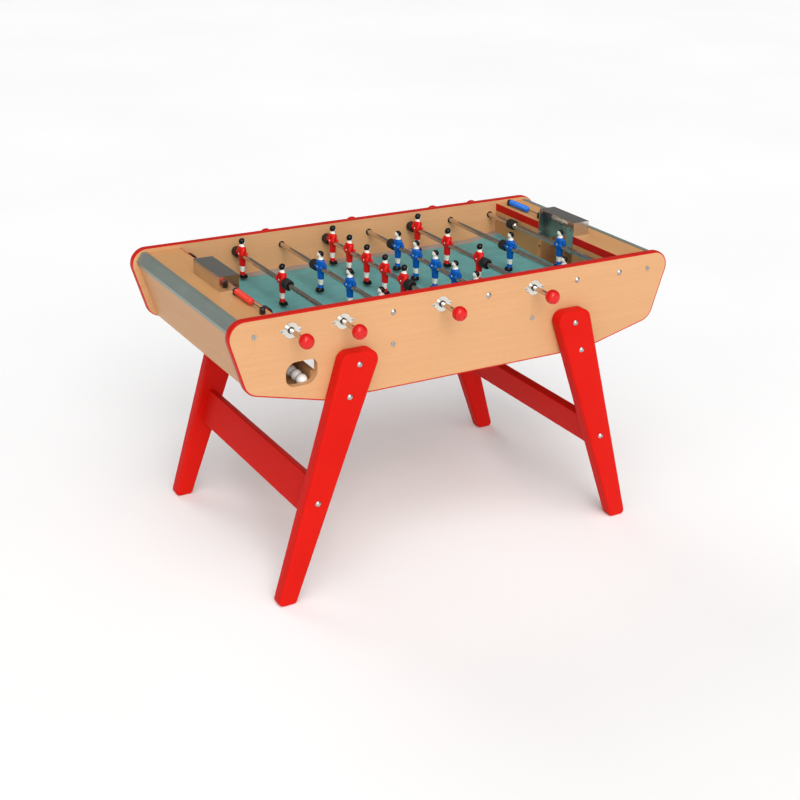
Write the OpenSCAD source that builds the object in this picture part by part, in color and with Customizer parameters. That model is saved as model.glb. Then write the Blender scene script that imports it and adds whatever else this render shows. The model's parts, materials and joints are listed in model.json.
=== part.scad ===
// Table football table: a wooden cabinet on four splayed legs, with eight telescopic rods
// of cast men. The origin is on the floor under the table's centre, +X runs along the
// table to the right as the red players see it, and +Z is up. Turned half a turn about Z,
// the table maps onto itself, so most pieces are drawn once and copied round.

/* [Cabinet] */
// Width over the outer faces of the side panels
cabinet_w = 760; // [700:1:940]
// Height of the top edge of the cabinet above the floor
table_h = 891; // [740:1:1080]
// Depth of a side panel from its top edge to its flat bottom edge
panel_h = 282; // [260:1:320]
// Thickness of a side panel
panel_t = 22; // [18:1:28]
// Length of the flat bottom edge of a side panel
belly_l = 910; // [700:1:1000]
// Lean of the cabinet's ends from the vertical, in degrees
end_lean = 17.2; // [10:0.1:20]
// Rise of a side panel's bottom edge towards its ends, in degrees
belly_rise = 14; // [8:0.5:16]
// Radius of the corners of a side panel
corner_r = 50; // [30:1:70]
// Thickness of the red edge band
band_t = 2.5; // [2:0.5:3]

/* [Ends] */
// Length from the goal line to the unrounded top corner of a side panel
end_depth = 177; // [160:1:230]
// Distance of the deck's top below the top edge of the cabinet
deck_drop = 13; // [8:1:16]
// Thickness of the end deck
deck_t = 25; // [18:1:30]
// Distance of the end panel's outer face inside the ends of the side panels
end_inset = 22; // [15:1:28]
// Thickness of the end panel
end_panel_t = 18; // [14:1:22]
// Thickness of the corner trim
trim_t = 2; // [1:0.5:3]
// Length of the trim's flange on the deck and on the end panel
trim_flange = 14; // [8:1:20]
// Length of the bevel that the trim covers, measured along the deck
trim_bevel = 18; // [10:1:24]
// Width of the batten under each side of the deck
batten_w = 30; // [20:1:40]
// Height of the batten
batten_h = 25; // [15:1:30]

/* [Goals] */
// Width of the goal mouth
goal_w = 194; // [180:1:230]
// Thickness of the end walls beside the goal
wall_t = 16; // [12:1:20]
// Thickness of the steel sheet of the goal hood
sheet_t = 1.5; // [1:0.1:2]
// Gap over a goalkeeper's swinging foot, to the top of the hood
hood_gap = 1.1; // [1:0.1:10]
// Gap behind a goalkeeper's swinging foot, to the back of the hood
hood_back_gap = 7; // [3:1:15]
// Length of the hood's side tabs below the deck
hood_tab = 35; // [24:1:60]
// Length of the hood's back sheet below the deck
hood_skirt = 68; // [40:1:80]
// Thickness of the boards of the goal box and of the ball trough
box_t = 12; // [8:1:14]
// Slope of the ramp in the goal box, in degrees
ramp_slope = 22; // [15:1:25]
// Drop from the field's board to the ramp at the goal line
ramp_drop = 36; // [35:1:40]

/* [Field] */
// Height of the rod axis over the playing surface
rod_over_field = 85; // [80:1:95]
// Thickness of the board under the playing surface
board_t = 18; // [12:1:22]
// Thickness of the playing surface
cover_t = 2; // [1.5:0.5:4]
// Width of the strip along each side of the field
strip_w = 28; // [20:1:28]
// Rise of the strip at the side panel
strip_rise = 5; // [3:0.5:5]
// Thickness of the strip at its inner edge
strip_edge = 0.8; // [0.5:0.1:1.5]
// Rise of the field in its corners
corner_rise = 21; // [12:1:25]
// Length of the raised corner along the side panel
corner_run = 160; // [100:1:165]
// Gap between the goal mouth and the raised corner
corner_gap = 6; // [3:1:40]

/* [Rods] */
// Distance between neighbouring rods
rod_pitch = 162; // [162:1:200]
// Distance of the rod axis below the top edge of the cabinet
rod_drop = 49; // [40:1:60]
// Distance from a goalkeeper's rod to the goal line
keeper_gap = 27; // [24:1:60]
// Outer diameter of the sliding tube
tube_d = 16; // [14:0.5:20]
// Wall of the sliding tube
tube_wall = 1.5; // [1:0.1:2]
// Radial clearance where a tube runs on a bar, in a bush or in a bumper
run_gap = 0.08; // [0.05:0.01:0.1]
// Least length of bar left inside a tube that is pulled right out
bar_grip = 60; // [40:1:90]
// Distance from the side panel to the middle of a knob that is pushed right in
knob_out = 96; // [80:1:140]
// Diameter of the knob
knob_d = 44; // [38:1:50]
// Diameter of the rubber bumper
bumper_d = 33; // [28:1:40]
// Length of the rubber bumper
bumper_l = 30; // [20:1:34]
// Gap left between a bumper and the wall, and between a bumper and a man
stop_gap = 0.4; // [0.3:0.1:1]
// Distance between the two men of a defence rod
two_step = 295; // [200:1:320]
// Distance between the three men of an attack rod
three_step = 193; // [150:1:200]
// Distance between the five men of a midfield rod
five_step = 117; // [90:1:120]
// Distance from a goalkeeper to the end of the bumper that stops the rod
keeper_stop = 294; // [270:1:300]
// Width of the steel collar that holds a goalkeeper's bumper
collar_l = 11; // [8:1:16]
// Diameter of the bush in the side panel
bush_d = 20; // [20:0.5:28]
// Thickness of the bush's flange inside the side panel
flange_t = 2; // [1.5:0.5:4]
// Thickness of the plate that holds the bush
plate_t = 2; // [1:0.5:4]

/* [Men] */
// Width of a man over the arms
man_w = 38; // [34:1:44]
// Height of the top of the head over the rod
head_top = 55; // [50:1:60]
// Gap between the sole of a foot and the playing surface
sole_gap = 7; // [4:1:12]
// Distance of the toe in front of the rod axis
toe_out = 15; // [12:1:17]
// Diameter of the head
head_d = 18.4; // [16:0.2:20]
// Diameter of a man's hips, which hold the rod
hip_d = 25; // [23:1:28]
// Diameter of an arm
arm_d = 9.6; // [8:0.2:11]

/* [Score counters] */
// Number of beads on a counter
bead_count = 10; // [5:1:10]
// Diameter of a bead
bead_d = 20; // [16:1:22]
// Width of a bead
bead_w = 10.4; // [8:0.2:11]
// Diameter of the counter's wire
wire_d = 4; // [3:0.5:5]
// Diameter of the counter's posts
post_d = 17; // [12:1:18]
// Height of the wire over the deck
wire_h = 12.5; // [12:0.5:16]
// Distance of the wire behind the goal line
counter_in = 28; // [24:1:50]

/* [Balls] */
// Diameter of a ball
ball_d = 34; // [30:1:35]
// Width of the ball trough
trough_w = 40; // [38:1:44]
// Distance from the goal line to the middle of the trough
trough_in = 77; // [70:1:90]
// Height of the trough's walls
trough_h = 48; // [40:1:55]
// Height of the trough's floor over the bottom of the cabinet, at the outlet
trough_up = 46; // [40:1:60]
// Fall of the trough along its length
trough_fall = 12; // [6:1:14]
// Width of the ball outlet
outlet_w = 98; // [80:1:110]
// Height of the ball outlet
outlet_h = 74; // [60:1:80]

/* [Legs] */
// Thickness of a leg
leg_t = 46; // [28:1:50]
// Width of a leg at its top
leg_top_w = 125; // [100:1:140]
// Width of a leg at the floor
leg_foot_w = 60; // [45:1:80]
// Distance of the top of a leg from the middle of the table
leg_top_x = 363; // [300:0.5:400]
// Distance of the foot of a leg from the middle of the table
leg_foot_x = 610; // [500:1:680]
// Distance of the top of a leg below the top edge of the cabinet
leg_drop = 131; // [110:1:140]
// Height of the stretcher's middle above the floor
stretcher_z = 313; // [240:1:380]
// Depth of the stretcher
stretcher_h = 110; // [80:1:130]
// Thickness of the stretcher
stretcher_t = 28; // [22:1:36]

/* [Fasteners] */
// Diameter of a dome bolt's head
dome_d = 18; // [14:1:20]
// Diameter of a dome bolt's shank
bolt_d = 8; // [6:0.5:10]
// Diameter of a panel screw's head
screw_d = 14; // [10:1:16]
// Length of a panel screw's shank
screw_l = 36; // [30:1:40]
// Diameter of a small screw's head
small_screw_d = 7; // [5:0.5:8]
// Length of a small screw's shank
small_screw_l = 12; // [8:1:14]

/* [Hidden] */
$fn = 48;

// Rods from left to right: name, place, number of men; a red rod has its knob in front
RODS = [
    ["red_keeper", 0, 1],
    ["red_defence", 1, 2],
    ["blue_attack", 2, 3],
    ["red_midfield", 3, 5],
    ["blue_midfield", 4, 5],
    ["red_attack", 5, 3],
    ["blue_defence", 6, 2],
    ["blue_keeper", 7, 1]
];
ROD_PIECES = ["tube", "men", "knob", "bumpers"];
CABINET_NODES = [
    "front_side_panel", "rear_side_panel", "edge_bands", "end_panels", "end_decks",
    "corner_trims", "goal_walls", "goal_boxes", "goal_hoods", "ball_troughs",
    "playfield_board", "playfield_cover", "side_strips", "score_posts", "score_wires",
    "red_score_beads", "blue_score_beads", "front_left_leg", "front_right_leg",
    "rear_left_leg", "rear_right_leg", "stretchers", "dome_bolts", "panel_screws",
    "inner_bars", "rod_bushes", "bush_plates", "balls"
];

beech = [0.91, 0.72, 0.52];
inner_wood = [0.62, 0.45, 0.30];
band_red = [0.80, 0.10, 0.07];
leg_red = [0.88, 0.12, 0.09];
team_blue = [0.05, 0.28, 0.65];
rubber_black = [0.07, 0.07, 0.07];
steel = [0.72, 0.72, 0.72];
trim_grey = [0.50, 0.55, 0.53];
field_teal = [0.33, 0.54, 0.52];
strip_grey = [0.55, 0.50, 0.46];

// Widths: half the cabinet, and half the space between the side panels
half_w = cabinet_w / 2;
inner_half = half_w - panel_t;

// Lengths: the keeper's rod, the goal line and the sharp top corner of a side panel
keeper_x = 3.5 * rod_pitch;
goal_x = keeper_x + keeper_gap;
half_top = goal_x + end_depth;

// Heights
rod_z = table_h - rod_drop;
field_z = rod_z - rod_over_field;
board_top = field_z - cover_t;
board_bottom = board_top - board_t;
deck_top = table_h - deck_drop;
deck_bottom = deck_top - deck_t;
belly_z = table_h - panel_h;

// Side panel: the sharp corner where the leaning end meets the rising bottom edge
lean = tan(end_lean);
rise = tan(belly_rise);
half_belly = belly_l / 2;
low_corner_z = (belly_z + rise * (half_top - half_belly - lean * table_h)) / (1 - rise * lean);
function end_line(z) = half_top - lean * (table_h - z);
panel_corners = [
    [-half_belly, belly_z],
    [half_belly, belly_z],
    [end_line(low_corner_z), low_corner_z],
    [half_top, table_h],
    [-half_top, table_h],
    [-end_line(low_corner_z), low_corner_z]
];
panel_radii = [for (i = [0 : 5]) corner_r];

// End panel: its outer and inner faces, and its bottom edge just above the side panels' own
end_edge_up = 4;
function end_face(z) = end_line(z) - end_inset;
function end_back(z) = end_face(z) - end_panel_t / cos(end_lean);
function over_belly(x) = belly_z + rise * (x - half_belly) + end_edge_up;
end_low_z = (belly_z + end_edge_up + rise * (end_face(0) - half_belly)) / (1 - rise * lean);
end_low_back_z = (belly_z + end_edge_up + rise * (end_back(0) - half_belly)) / (1 - rise * lean);

// Men: the reach of a foot below the rod and of its toe when it swings
foot_reach = rod_over_field - sole_gap;
swing_r = norm([foot_reach, toe_out]);
man_half = man_w / 2;
hip_l = 1.08 * hip_d;
hem_z = -35;
collar_z = 25;
head_z = head_top - head_d / 2;
boot_h = 16;

// Goal hood: inner back face, outer back face and inner top
hood_back = keeper_x + swing_r + hood_back_gap;
notch_x = hood_back + sheet_t;
hood_inner_top = rod_z + swing_r + hood_gap;
goal_half = goal_w / 2;

// Ball trough and ramp, on the left of the table
trough_x = goal_x - trough_in;
trough_near = trough_x - trough_w / 2;
trough_far = trough_x + trough_w / 2;
trough_end = goal_half;
trough_floor_z = belly_z + trough_up;
trough_angle = atan(trough_fall / (inner_half + trough_end));
function trough_z(y) = trough_floor_z + tan(trough_angle) * (y + inner_half);
ramp_low_x = trough_far + 4;
function ramp_z(x) = board_bottom - ramp_drop + tan(ramp_slope) * (x - goal_x);

// Ball outlet: its middle is over the trough and a lip stops the balls
outlet_lip = 17;
outlet_shift = 18;
outlet_x = -(trough_x + outlet_shift);
outlet_low_z = trough_floor_z + outlet_lip;
outlet_radii = [27, 36, 20, 34];

// Tray at the trough's front end, as wide as the outlet
tray_far = outlet_w / 2 - outlet_x;
tray_end = -goal_half - box_t;

// Rods: half the space that a row of men and bumpers takes, and how far the row is off the
// middle when it is pushed right in; pulled right out, a bumper meets the bush's flange
function step_of(count) = count == 5 ? five_step : count == 3 ? three_step : two_step;
function row_half(count) = (count - 1) * step_of(count) / 2 + man_half;
function stack_half(count) = count == 1 ? keeper_stop : row_half(count) + stop_gap + bumper_l;
function row_y(count) = inner_half - stop_gap - stack_half(count);
function travel(count) = 2 * row_y(count) - flange_t;
function rod_x(place) = (place - 3.5) * rod_pitch;
function knob_in_front(place) = RODS[place][0][0] == "r";
longest_travel = travel(2);
bar_d = tube_d - 2 * tube_wall - 2 * run_gap;
bar_l = longest_travel + bar_grip;
tube_end_gap = 2;
knob_y = half_w + knob_out;
knob_bore_l = 24;

// Legs: their edges lean from the top to the foot
leg_h = table_h - leg_drop;
leg_radii = [14, 14, 32, 32];
leg_corners = [
    [leg_foot_x - leg_foot_w / 2, 0],
    [leg_foot_x + leg_foot_w / 2, 0],
    [leg_top_x + leg_top_w / 2, leg_h],
    [leg_top_x - leg_top_w / 2, leg_h]
];
function leg_axis_x(z) = leg_foot_x + (leg_top_x - leg_foot_x) * z / leg_h;
leg_tilt = atan((leg_foot_x - leg_top_x) / leg_h);
upper_bolt_drop = 38;
lower_bolt_drop = 132;
leg_bolt_z = [leg_h - upper_bolt_drop, leg_h - lower_bolt_drop];

// Fasteners
fit_gap = 0.1;
dome_h = 5;
screw_h = 3;
small_screw_h = 1.6;
screw_shank = 0.4;
bar_thread_l = 30;
stretcher_bolt_l = 45;
plate_screw_x = 29;
board_screw_x = 1.5 * rod_pitch;
deck_screw_in = 84;
deck_screw_x = goal_x + deck_screw_in;
hood_screw_in = 28;
hood_screw_y = goal_half - hood_screw_in;
wall_screw_z = field_z + 36;
batten_screw_z = deck_bottom - batten_h / 2;
board_screw_z = board_top - board_t / 2;

// Score counters, on the left deck
counter_x = -(goal_x + counter_in);
inner_post_y = -(goal_half + 37);
outer_post_y = -(inner_half - 42);
wire_z = deck_top + wire_h;
bead_gap = 0.3;
bead_row = bead_count * bead_w;

// Shapes in two dimensions

function unit(v) = v / norm(v);
function left_of(a, b) = let (d = unit(b - a)) [-d[1], d[0]];
function before(points, i) = points[(i + len(points) - 1) % len(points)];
function after(points, i) = points[(i + 1) % len(points)];
function corner_shift(points, i) =
    let (a = left_of(before(points, i), points[i]), b = left_of(points[i], after(points, i)))
    (a + b) / (1 + a * b);

// A convex outline, listed anticlockwise, with every edge moved in by d
function inset(points, d) = [for (i = [0 : len(points) - 1]) points[i] + d * corner_shift(points, i)];
function less(radii, d) = [for (r = radii) r - d];

// A convex outline, listed anticlockwise, with true arcs at its corners
module rounded_outline(points, radii) {
    last = len(points) - 1;
    centres = [for (i = [0 : last]) points[i] + radii[i] * corner_shift(points, i)];
    polygon([
        for (i = [0 : last])
            for (side = [left_of(before(points, i), points[i]), left_of(points[i], after(points, i))])
                centres[i] - radii[i] * side
    ]);
    for (i = [0 : last])
        translate(centres[i]) circle(r = radii[i]);
}

// Placing helpers

// An outline in X and Z, extruded from y to y + thickness
module upright(y, thickness) {
    translate([0, y + thickness, 0]) rotate([90, 0, 0]) linear_extrude(thickness) children();
}

// An outline in Y and Z, extruded from x to x + thickness
module crosswise(x, thickness) {
    translate([x, 0, 0]) rotate([90, 0, 90]) linear_extrude(thickness) children();
}

// A round piece drawn along +Z from z = 0, laid along -Y from the point given
module towards_front(point) {
    translate(point) rotate([90, 0, 0]) children();
}

// A piece and its copy half a turn round the table
module turned_pair() {
    children();
    rotate([0, 0, 180]) children();
}

// A piece and its mirror image from front to back
module front_and_back() {
    children();
    mirror([0, 1, 0]) children();
}

// Cabinet

// Front side panel with its rod holes, bolt holes and ball outlet
module side_panel() {
    reach = panel_t + 2;
    difference() {
        upright(-half_w, panel_t)
            rounded_outline(inset(panel_corners, band_t), less(panel_radii, band_t));
        for (rod = RODS)
            towards_front([rod_x(rod[1]), -inner_half + 1, rod_z])
                cylinder(d = knob_in_front(rod[1]) ? bush_d : bolt_d + fit_gap, h = reach);
        for (side = [-1, 1])
            for (z = leg_bolt_z)
                towards_front([side * leg_axis_x(z), -inner_half + 1, z])
                    cylinder(d = bolt_d + fit_gap, h = reach);
        at_panel_screws() screw_hole(screw_d, screw_l);
        at_plate_screws() screw_hole(small_screw_d, small_screw_l);
        upright(-half_w - 1, reach)
            rounded_outline([
                [outlet_x - outlet_w / 2, outlet_low_z],
                [outlet_x + outlet_w / 2, outlet_low_z],
                [outlet_x + outlet_w / 2, outlet_low_z + outlet_h],
                [outlet_x - outlet_w / 2, outlet_low_z + outlet_h]
            ], outlet_radii);
    }
}

module front_side_panel() {
    color(beech) side_panel();
}

module rear_side_panel() {
    color(beech) rotate([0, 0, 180]) side_panel();
}

// Red bands round the side panels and along the inner edges of the decks
module edge_bands() {
    color(band_red) turned_pair() {
        upright(-half_w, panel_t) difference() {
            rounded_outline(panel_corners, panel_radii);
            rounded_outline(inset(panel_corners, band_t), less(panel_radii, band_t));
        }
        front_and_back()
            translate([-goal_x - band_t, goal_half, deck_bottom])
                cube([band_t, inner_half - goal_half, deck_t]);
    }
}

// Leaning end panels between the side panels
module end_panels() {
    color(beech) turned_pair()
        upright(-inner_half, 2 * inner_half)
            polygon([
                [end_face(end_low_z), end_low_z],
                [end_face(deck_bottom), deck_bottom],
                [end_back(deck_bottom), deck_bottom],
                [end_back(end_low_back_z), end_low_back_z]
            ]);
}

// Decks over the cabinet's ends, notched for the goal hood and carried on two battens
module end_decks() {
    batten_x = goal_x + wall_t;
    batten_l = end_back(deck_bottom - batten_h) - batten_x - 1;
    color(beech) turned_pair() difference() {
        union() {
            upright(-inner_half, 2 * inner_half)
                polygon([
                    [goal_x + band_t, deck_bottom],
                    [end_face(deck_bottom), deck_bottom],
                    [end_face(deck_bottom) - trim_bevel, deck_top],
                    [goal_x + band_t, deck_top]
                ]);
            front_and_back()
                translate([batten_x, inner_half - batten_w, deck_bottom - batten_h])
                    cube([batten_l, batten_w, batten_h]);
        }
        translate([goal_x, -goal_half, deck_bottom - 1])
            cube([notch_x - goal_x, goal_w, deck_t + 2]);
        turned_pair() at_panel_screws() screw_hole(screw_d, screw_l);
        at_hood_screws() screw_hole(small_screw_d, small_screw_l);
    }
}

// Bent metal trims over the bevel where deck and end panel meet
module corner_trims() {
    bevel_x = end_face(deck_bottom);
    inner_line = [
        [bevel_x - trim_bevel - trim_flange, deck_top],
        [bevel_x - trim_bevel, deck_top],
        [bevel_x, deck_bottom],
        [end_face(deck_bottom - trim_flange), deck_bottom - trim_flange]
    ];
    bevel_tilt = atan(deck_t / trim_bevel);
    top_mitre = trim_t * tan(bevel_tilt / 2);
    low_mitre = trim_t * tan((90 - end_lean - bevel_tilt) / 2);
    down = [-sin(end_lean), -cos(end_lean)];
    out = [cos(end_lean), -sin(end_lean)];
    color(trim_grey) turned_pair()
        upright(-inner_half, 2 * inner_half)
            polygon([
                inner_line[0],
                inner_line[1],
                inner_line[2],
                inner_line[3],
                inner_line[3] + trim_t * out,
                inner_line[2] + trim_t * out - low_mitre * down,
                inner_line[1] + [top_mitre, trim_t],
                inner_line[0] + [0, trim_t]
            ]);
}

// End walls beside the goals
module goal_walls() {
    color(beech) turned_pair() difference() {
        front_and_back()
            translate([goal_x, goal_half, board_bottom])
                cube([wall_t, inner_half - goal_half, deck_bottom - board_bottom]);
        at_hood_screws() screw_hole(small_screw_d, small_screw_l);
    }
}

// Box behind each goal: two cheeks, a back and a ramp that leads a ball under the field
module goal_boxes() {
    back_x = notch_x + box_t;
    color(inner_wood) turned_pair() {
        front_and_back()
            upright(goal_half, box_t)
                polygon([
                    [ramp_low_x, ramp_z(ramp_low_x) - box_t],
                    [back_x, ramp_z(back_x) - box_t],
                    [back_x, deck_bottom],
                    [goal_x + wall_t, deck_bottom],
                    [goal_x + wall_t, board_bottom],
                    [ramp_low_x, board_bottom]
                ]);
        upright(-goal_half, goal_w)
            polygon([
                [ramp_low_x, ramp_z(ramp_low_x) - box_t],
                [back_x, ramp_z(back_x) - box_t],
                [back_x, deck_bottom],
                [notch_x, deck_bottom],
                [notch_x, ramp_z(notch_x)],
                [ramp_low_x, ramp_z(ramp_low_x)]
            ]);
    }
}

// Folded steel hoods that let the goalkeeper swing over the goal line
module goal_hoods() {
    tab_z = deck_bottom - hood_tab;
    skirt_z = deck_bottom - hood_skirt;
    color(steel) turned_pair() difference() {
        union() {
            translate([goal_x, -goal_half, hood_inner_top])
                cube([notch_x - goal_x, goal_w, sheet_t]);
            translate([hood_back, -goal_half, skirt_z])
                cube([sheet_t, goal_w, hood_inner_top - skirt_z]);
            front_and_back()
                translate([goal_x, goal_half - sheet_t, tab_z])
                    cube([notch_x - goal_x, sheet_t, hood_inner_top - tab_z]);
        }
        at_hood_screws() screw_hole(small_screw_d, small_screw_l);
    }
}

// Outline of a trough's side in Y and Z, between two heights over its sloping floor
module trough_side(from, to, low, high) {
    polygon([
        [from, trough_z(from) + low],
        [to, trough_z(to) + low],
        [to, trough_z(to) + high],
        [from, trough_z(from) + high]
    ]);
}

// Channels that bring a scored ball to the outlet, open beside the goal box and hung from
// the field's board at their inner end
module ball_troughs() {
    outer_x = -trough_far - box_t;
    hanger_z = trough_z(trough_end) - box_t / 2;
    color(inner_wood) turned_pair() {
        difference() {
            union() {
                crosswise(outer_x, trough_w + 2 * box_t)
                    trough_side(-inner_half, trough_end, -box_t, trough_h);
                crosswise(-tray_far - box_t, tray_far - trough_far + box_t)
                    trough_side(-inner_half, tray_end, -box_t, trough_h);
            }
            crosswise(-trough_far, trough_w)
                trough_side(-inner_half - 1, trough_end - box_t, 0, trough_h + 1);
            crosswise(-tray_far, tray_far - trough_near)
                trough_side(-inner_half - 1, tray_end - box_t, 0, trough_h + 1);
            crosswise(outer_x - 1, box_t + 1)
                trough_side(tray_end, trough_end + 1, 0, trough_h + 1);
        }
        translate([-trough_far, trough_end - box_t, hanger_z])
            cube([trough_w + box_t, box_t, board_bottom - hanger_z]);
    }
}

// Field

module playfield_board() {
    color(inner_wood) difference() {
        translate([-goal_x, -inner_half, board_bottom])
            cube([2 * goal_x, 2 * inner_half, board_t]);
        turned_pair() at_panel_screws() screw_hole(screw_d, screw_l);
    }
}

// The raised corner at the right rear: one sloping face between the two walls
module raised_corner() {
    reach = inner_half - goal_half - corner_gap;
    height = cover_t + corner_rise;
    turn = atan2(-reach, corner_run);
    slope = atan(height * norm([corner_run, reach]) / (corner_run * reach));
    difference() {
        translate([0, 0, board_top]) linear_extrude(height)
            polygon([
                [goal_x, inner_half],
                [goal_x - corner_run, inner_half],
                [goal_x, inner_half - reach]
            ]);
        translate([goal_x - corner_run, inner_half, board_top]) rotate([slope, 0, turn])
            translate([-goal_x, -goal_x, 0]) cube(2 * goal_x);
    }
}

module raised_corners() {
    turned_pair() front_and_back() raised_corner();
}

// Space over the field that is between the two side strips
module between_strips() {
    translate([-goal_x, strip_w - inner_half, board_top])
        cube([2 * goal_x, 2 * (inner_half - strip_w), corner_rise + cover_t + 1]);
}

// Playing surface, which turns up in the four corners
module playfield_cover() {
    color(field_teal) {
        translate([-goal_x, -inner_half, board_top])
            cube([2 * goal_x, 2 * inner_half, cover_t]);
        intersection() {
            raised_corners();
            between_strips();
        }
    }
}

// Sloping strips along the side panels, which follow the raised corners
module side_strips() {
    over_field = corner_rise + 1;
    color(strip_grey) front_and_back() {
        crosswise(-goal_x, 2 * goal_x)
            polygon([
                [inner_half - strip_w, field_z],
                [inner_half, field_z],
                [inner_half, field_z + strip_rise],
                [inner_half - strip_w, field_z + strip_edge]
            ]);
        intersection() {
            raised_corners();
            translate([-goal_x, inner_half - strip_w, field_z])
                cube([2 * goal_x, strip_w, over_field]);
        }
    }
}

// Score counters

// A solid of revolution: a dome of the given width and height on z = 0
module dome(width, height) {
    sphere_r = (width * width / 4 + height * height) / (2 * height);
    rotate_extrude() intersection() {
        translate([0, height - sphere_r]) circle(r = sphere_r);
        square([width, height + 1]);
    }
}

// A round-topped post with a hole for the wire
module score_post(y) {
    top_r = 0.24 * post_d;
    post_h = wire_h + post_d / 2;
    translate([counter_x, y, deck_top])
        difference() {
            rotate_extrude() union() {
                square([post_d / 2 - top_r, post_h]);
                square([post_d / 2, post_h - top_r]);
                translate([post_d / 2 - top_r, post_h - top_r]) circle(r = top_r);
            }
            translate([0, 0, wire_h]) rotate([90, 0, 0])
                cylinder(d = wire_d + fit_gap, h = 2 * post_d, center = true);
        }
}

module score_posts() {
    color(rubber_black) turned_pair()
        for (y = [inner_post_y, outer_post_y])
            score_post(y);
}

module score_wires() {
    color(steel) turned_pair()
        towards_front([counter_x, inner_post_y + post_d / 2, wire_z])
            cylinder(d = wire_d, h = inner_post_y - outer_post_y + post_d);
}

// A row of ribbed beads on the left deck's wire, starting at y and running to the front
module bead_row_from(y) {
    bead_r = bead_d / 2;
    edge_r = 2.5;
    for (i = [0 : bead_count - 1])
        towards_front([counter_x, y - i * bead_w, wire_z])
            rotate_extrude() difference() {
                union() {
                    square([bead_r - edge_r, bead_w - bead_gap]);
                    translate([0, edge_r]) square([bead_r, bead_w - bead_gap - 2 * edge_r]);
                    for (z = [edge_r, bead_w - bead_gap - edge_r])
                        translate([bead_r - edge_r, z]) circle(r = edge_r);
                }
                square([wire_d / 2 + run_gap, bead_w]);
            }
}

module red_score_beads() {
    color(band_red) bead_row_from(inner_post_y - post_d / 2 - bead_gap);
}

module blue_score_beads() {
    color(team_blue) rotate([0, 0, 180]) bead_row_from(outer_post_y + post_d / 2 + bead_row);
}

// Three balls that wait behind the outlet's lip
module balls() {
    ball_r = ball_d / 2;
    ball_step = ball_d + bead_gap;
    color("white")
        for (i = [0 : 2]) {
            y = ball_r + bead_gap + i * ball_step - inner_half;
            translate([-trough_x, y, trough_z(y) + (ball_r + fit_gap) / cos(trough_angle)])
                sphere(d = ball_d);
        }
}

// Legs

// Front right leg: a tapered board that leans outwards, drilled for its three bolts
module leg() {
    difference() {
        upright(-half_w - leg_t, leg_t) rounded_outline(leg_corners, leg_radii);
        for (z = concat(leg_bolt_z, [stretcher_z]))
            towards_front([leg_axis_x(z), -half_w + 1, z])
                cylinder(d = bolt_d + fit_gap, h = leg_t + 2);
    }
}

module front_right_leg() {
    color(leg_red) leg();
}

module front_left_leg() {
    color(leg_red) mirror([1, 0, 0]) leg();
}

module rear_left_leg() {
    color(leg_red) rotate([0, 0, 180]) leg();
}

module rear_right_leg() {
    color(leg_red) mirror([0, 1, 0]) leg();
}

// Boards that join the front and rear leg at each end
module stretchers() {
    color(leg_red) turned_pair()
        difference() {
            translate([leg_axis_x(stretcher_z), 0, stretcher_z]) rotate([0, -leg_tilt, 0])
                cube([stretcher_t, 2 * half_w, stretcher_h], center = true);
            front_and_back()
                towards_front([leg_axis_x(stretcher_z), stretcher_bolt_l - half_w, stretcher_z])
                    cylinder(d = bolt_d + fit_gap, h = stretcher_bolt_l + 1);
        }
}

// Fasteners

// A domed head on z = 0 with its shank below
module dome_bolt(shank_l) {
    dome(dome_d, dome_h);
    translate([0, 0, -shank_l]) cylinder(d = bolt_d, h = shank_l);
}

// A flat screw with a cross recess
module flat_screw(head_d, head_h, shank_l) {
    slot_l = 0.5 * head_d;
    slot_w = 0.12 * head_d;
    difference() {
        union() {
            cylinder(d = head_d, h = head_h);
            translate([0, 0, -shank_l]) cylinder(d = screw_shank * head_d, h = shank_l);
        }
        for (turn = [0, 90])
            rotate([0, 0, turn]) translate([-slot_l / 2, -slot_w / 2, head_h / 2])
                cube([slot_l, slot_w, head_h]);
    }
}

// Bolts of the legs, of the stretchers and of the bars' fixed ends
module dome_bolts() {
    color(steel) turned_pair() {
        for (side = [-1, 1]) {
            for (z = leg_bolt_z)
                towards_front([side * leg_axis_x(z), -half_w - leg_t, z])
                    dome_bolt(leg_t + panel_t);
            towards_front([side * leg_axis_x(stretcher_z), -half_w - leg_t, stretcher_z])
                dome_bolt(leg_t + stretcher_bolt_l);
        }
        for (rod = RODS)
            if (!knob_in_front(rod[1]))
                towards_front([rod_x(rod[1]), -half_w, rod_z])
                    dome_bolt(panel_t + bar_thread_l);
    }
}

// A hole for a screw whose head lies on z = 0
module screw_hole(head_d, shank_l) {
    translate([0, 0, -shank_l - 1]) cylinder(d = screw_shank * head_d + fit_gap, h = shank_l + 2);
}

// Places of the front panel's screws, which enter the decks' battens and the field's board
module at_panel_screws() {
    for (side = [-1, 1])
        for (place = [[deck_screw_x, batten_screw_z], [board_screw_x, board_screw_z]])
            towards_front([side * place[0], -half_w, place[1]]) children();
}

// Places of the screws of the front panel's bush plates
module at_plate_screws() {
    for (rod = RODS)
        if (knob_in_front(rod[1]))
            for (side = [-1, 1])
                towards_front([rod_x(rod[1]) + side * plate_screw_x, -half_w - plate_t, rod_z]) children();
}

// Places of the right goal's screws: three hold the hood to the deck, and each end wall has
// one through the hood's tab and one below it
module at_hood_screws() {
    wall_x = goal_x + wall_t / 2;
    for (y = [-hood_screw_y, 0, hood_screw_y])
        translate([hood_back, y, deck_bottom + deck_t / 2]) rotate([0, -90, 0]) children();
    front_and_back() {
        towards_front([wall_x, goal_half - sheet_t, rod_z]) children();
        towards_front([wall_x, goal_half, wall_screw_z]) children();
    }
}

module panel_screws() {
    color(steel) turned_pair() {
        at_panel_screws() flat_screw(screw_d, screw_h, screw_l);
        at_plate_screws() flat_screw(small_screw_d, small_screw_h, small_screw_l);
        at_hood_screws() flat_screw(small_screw_d, small_screw_h, small_screw_l);
    }
}

// Rods

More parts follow.
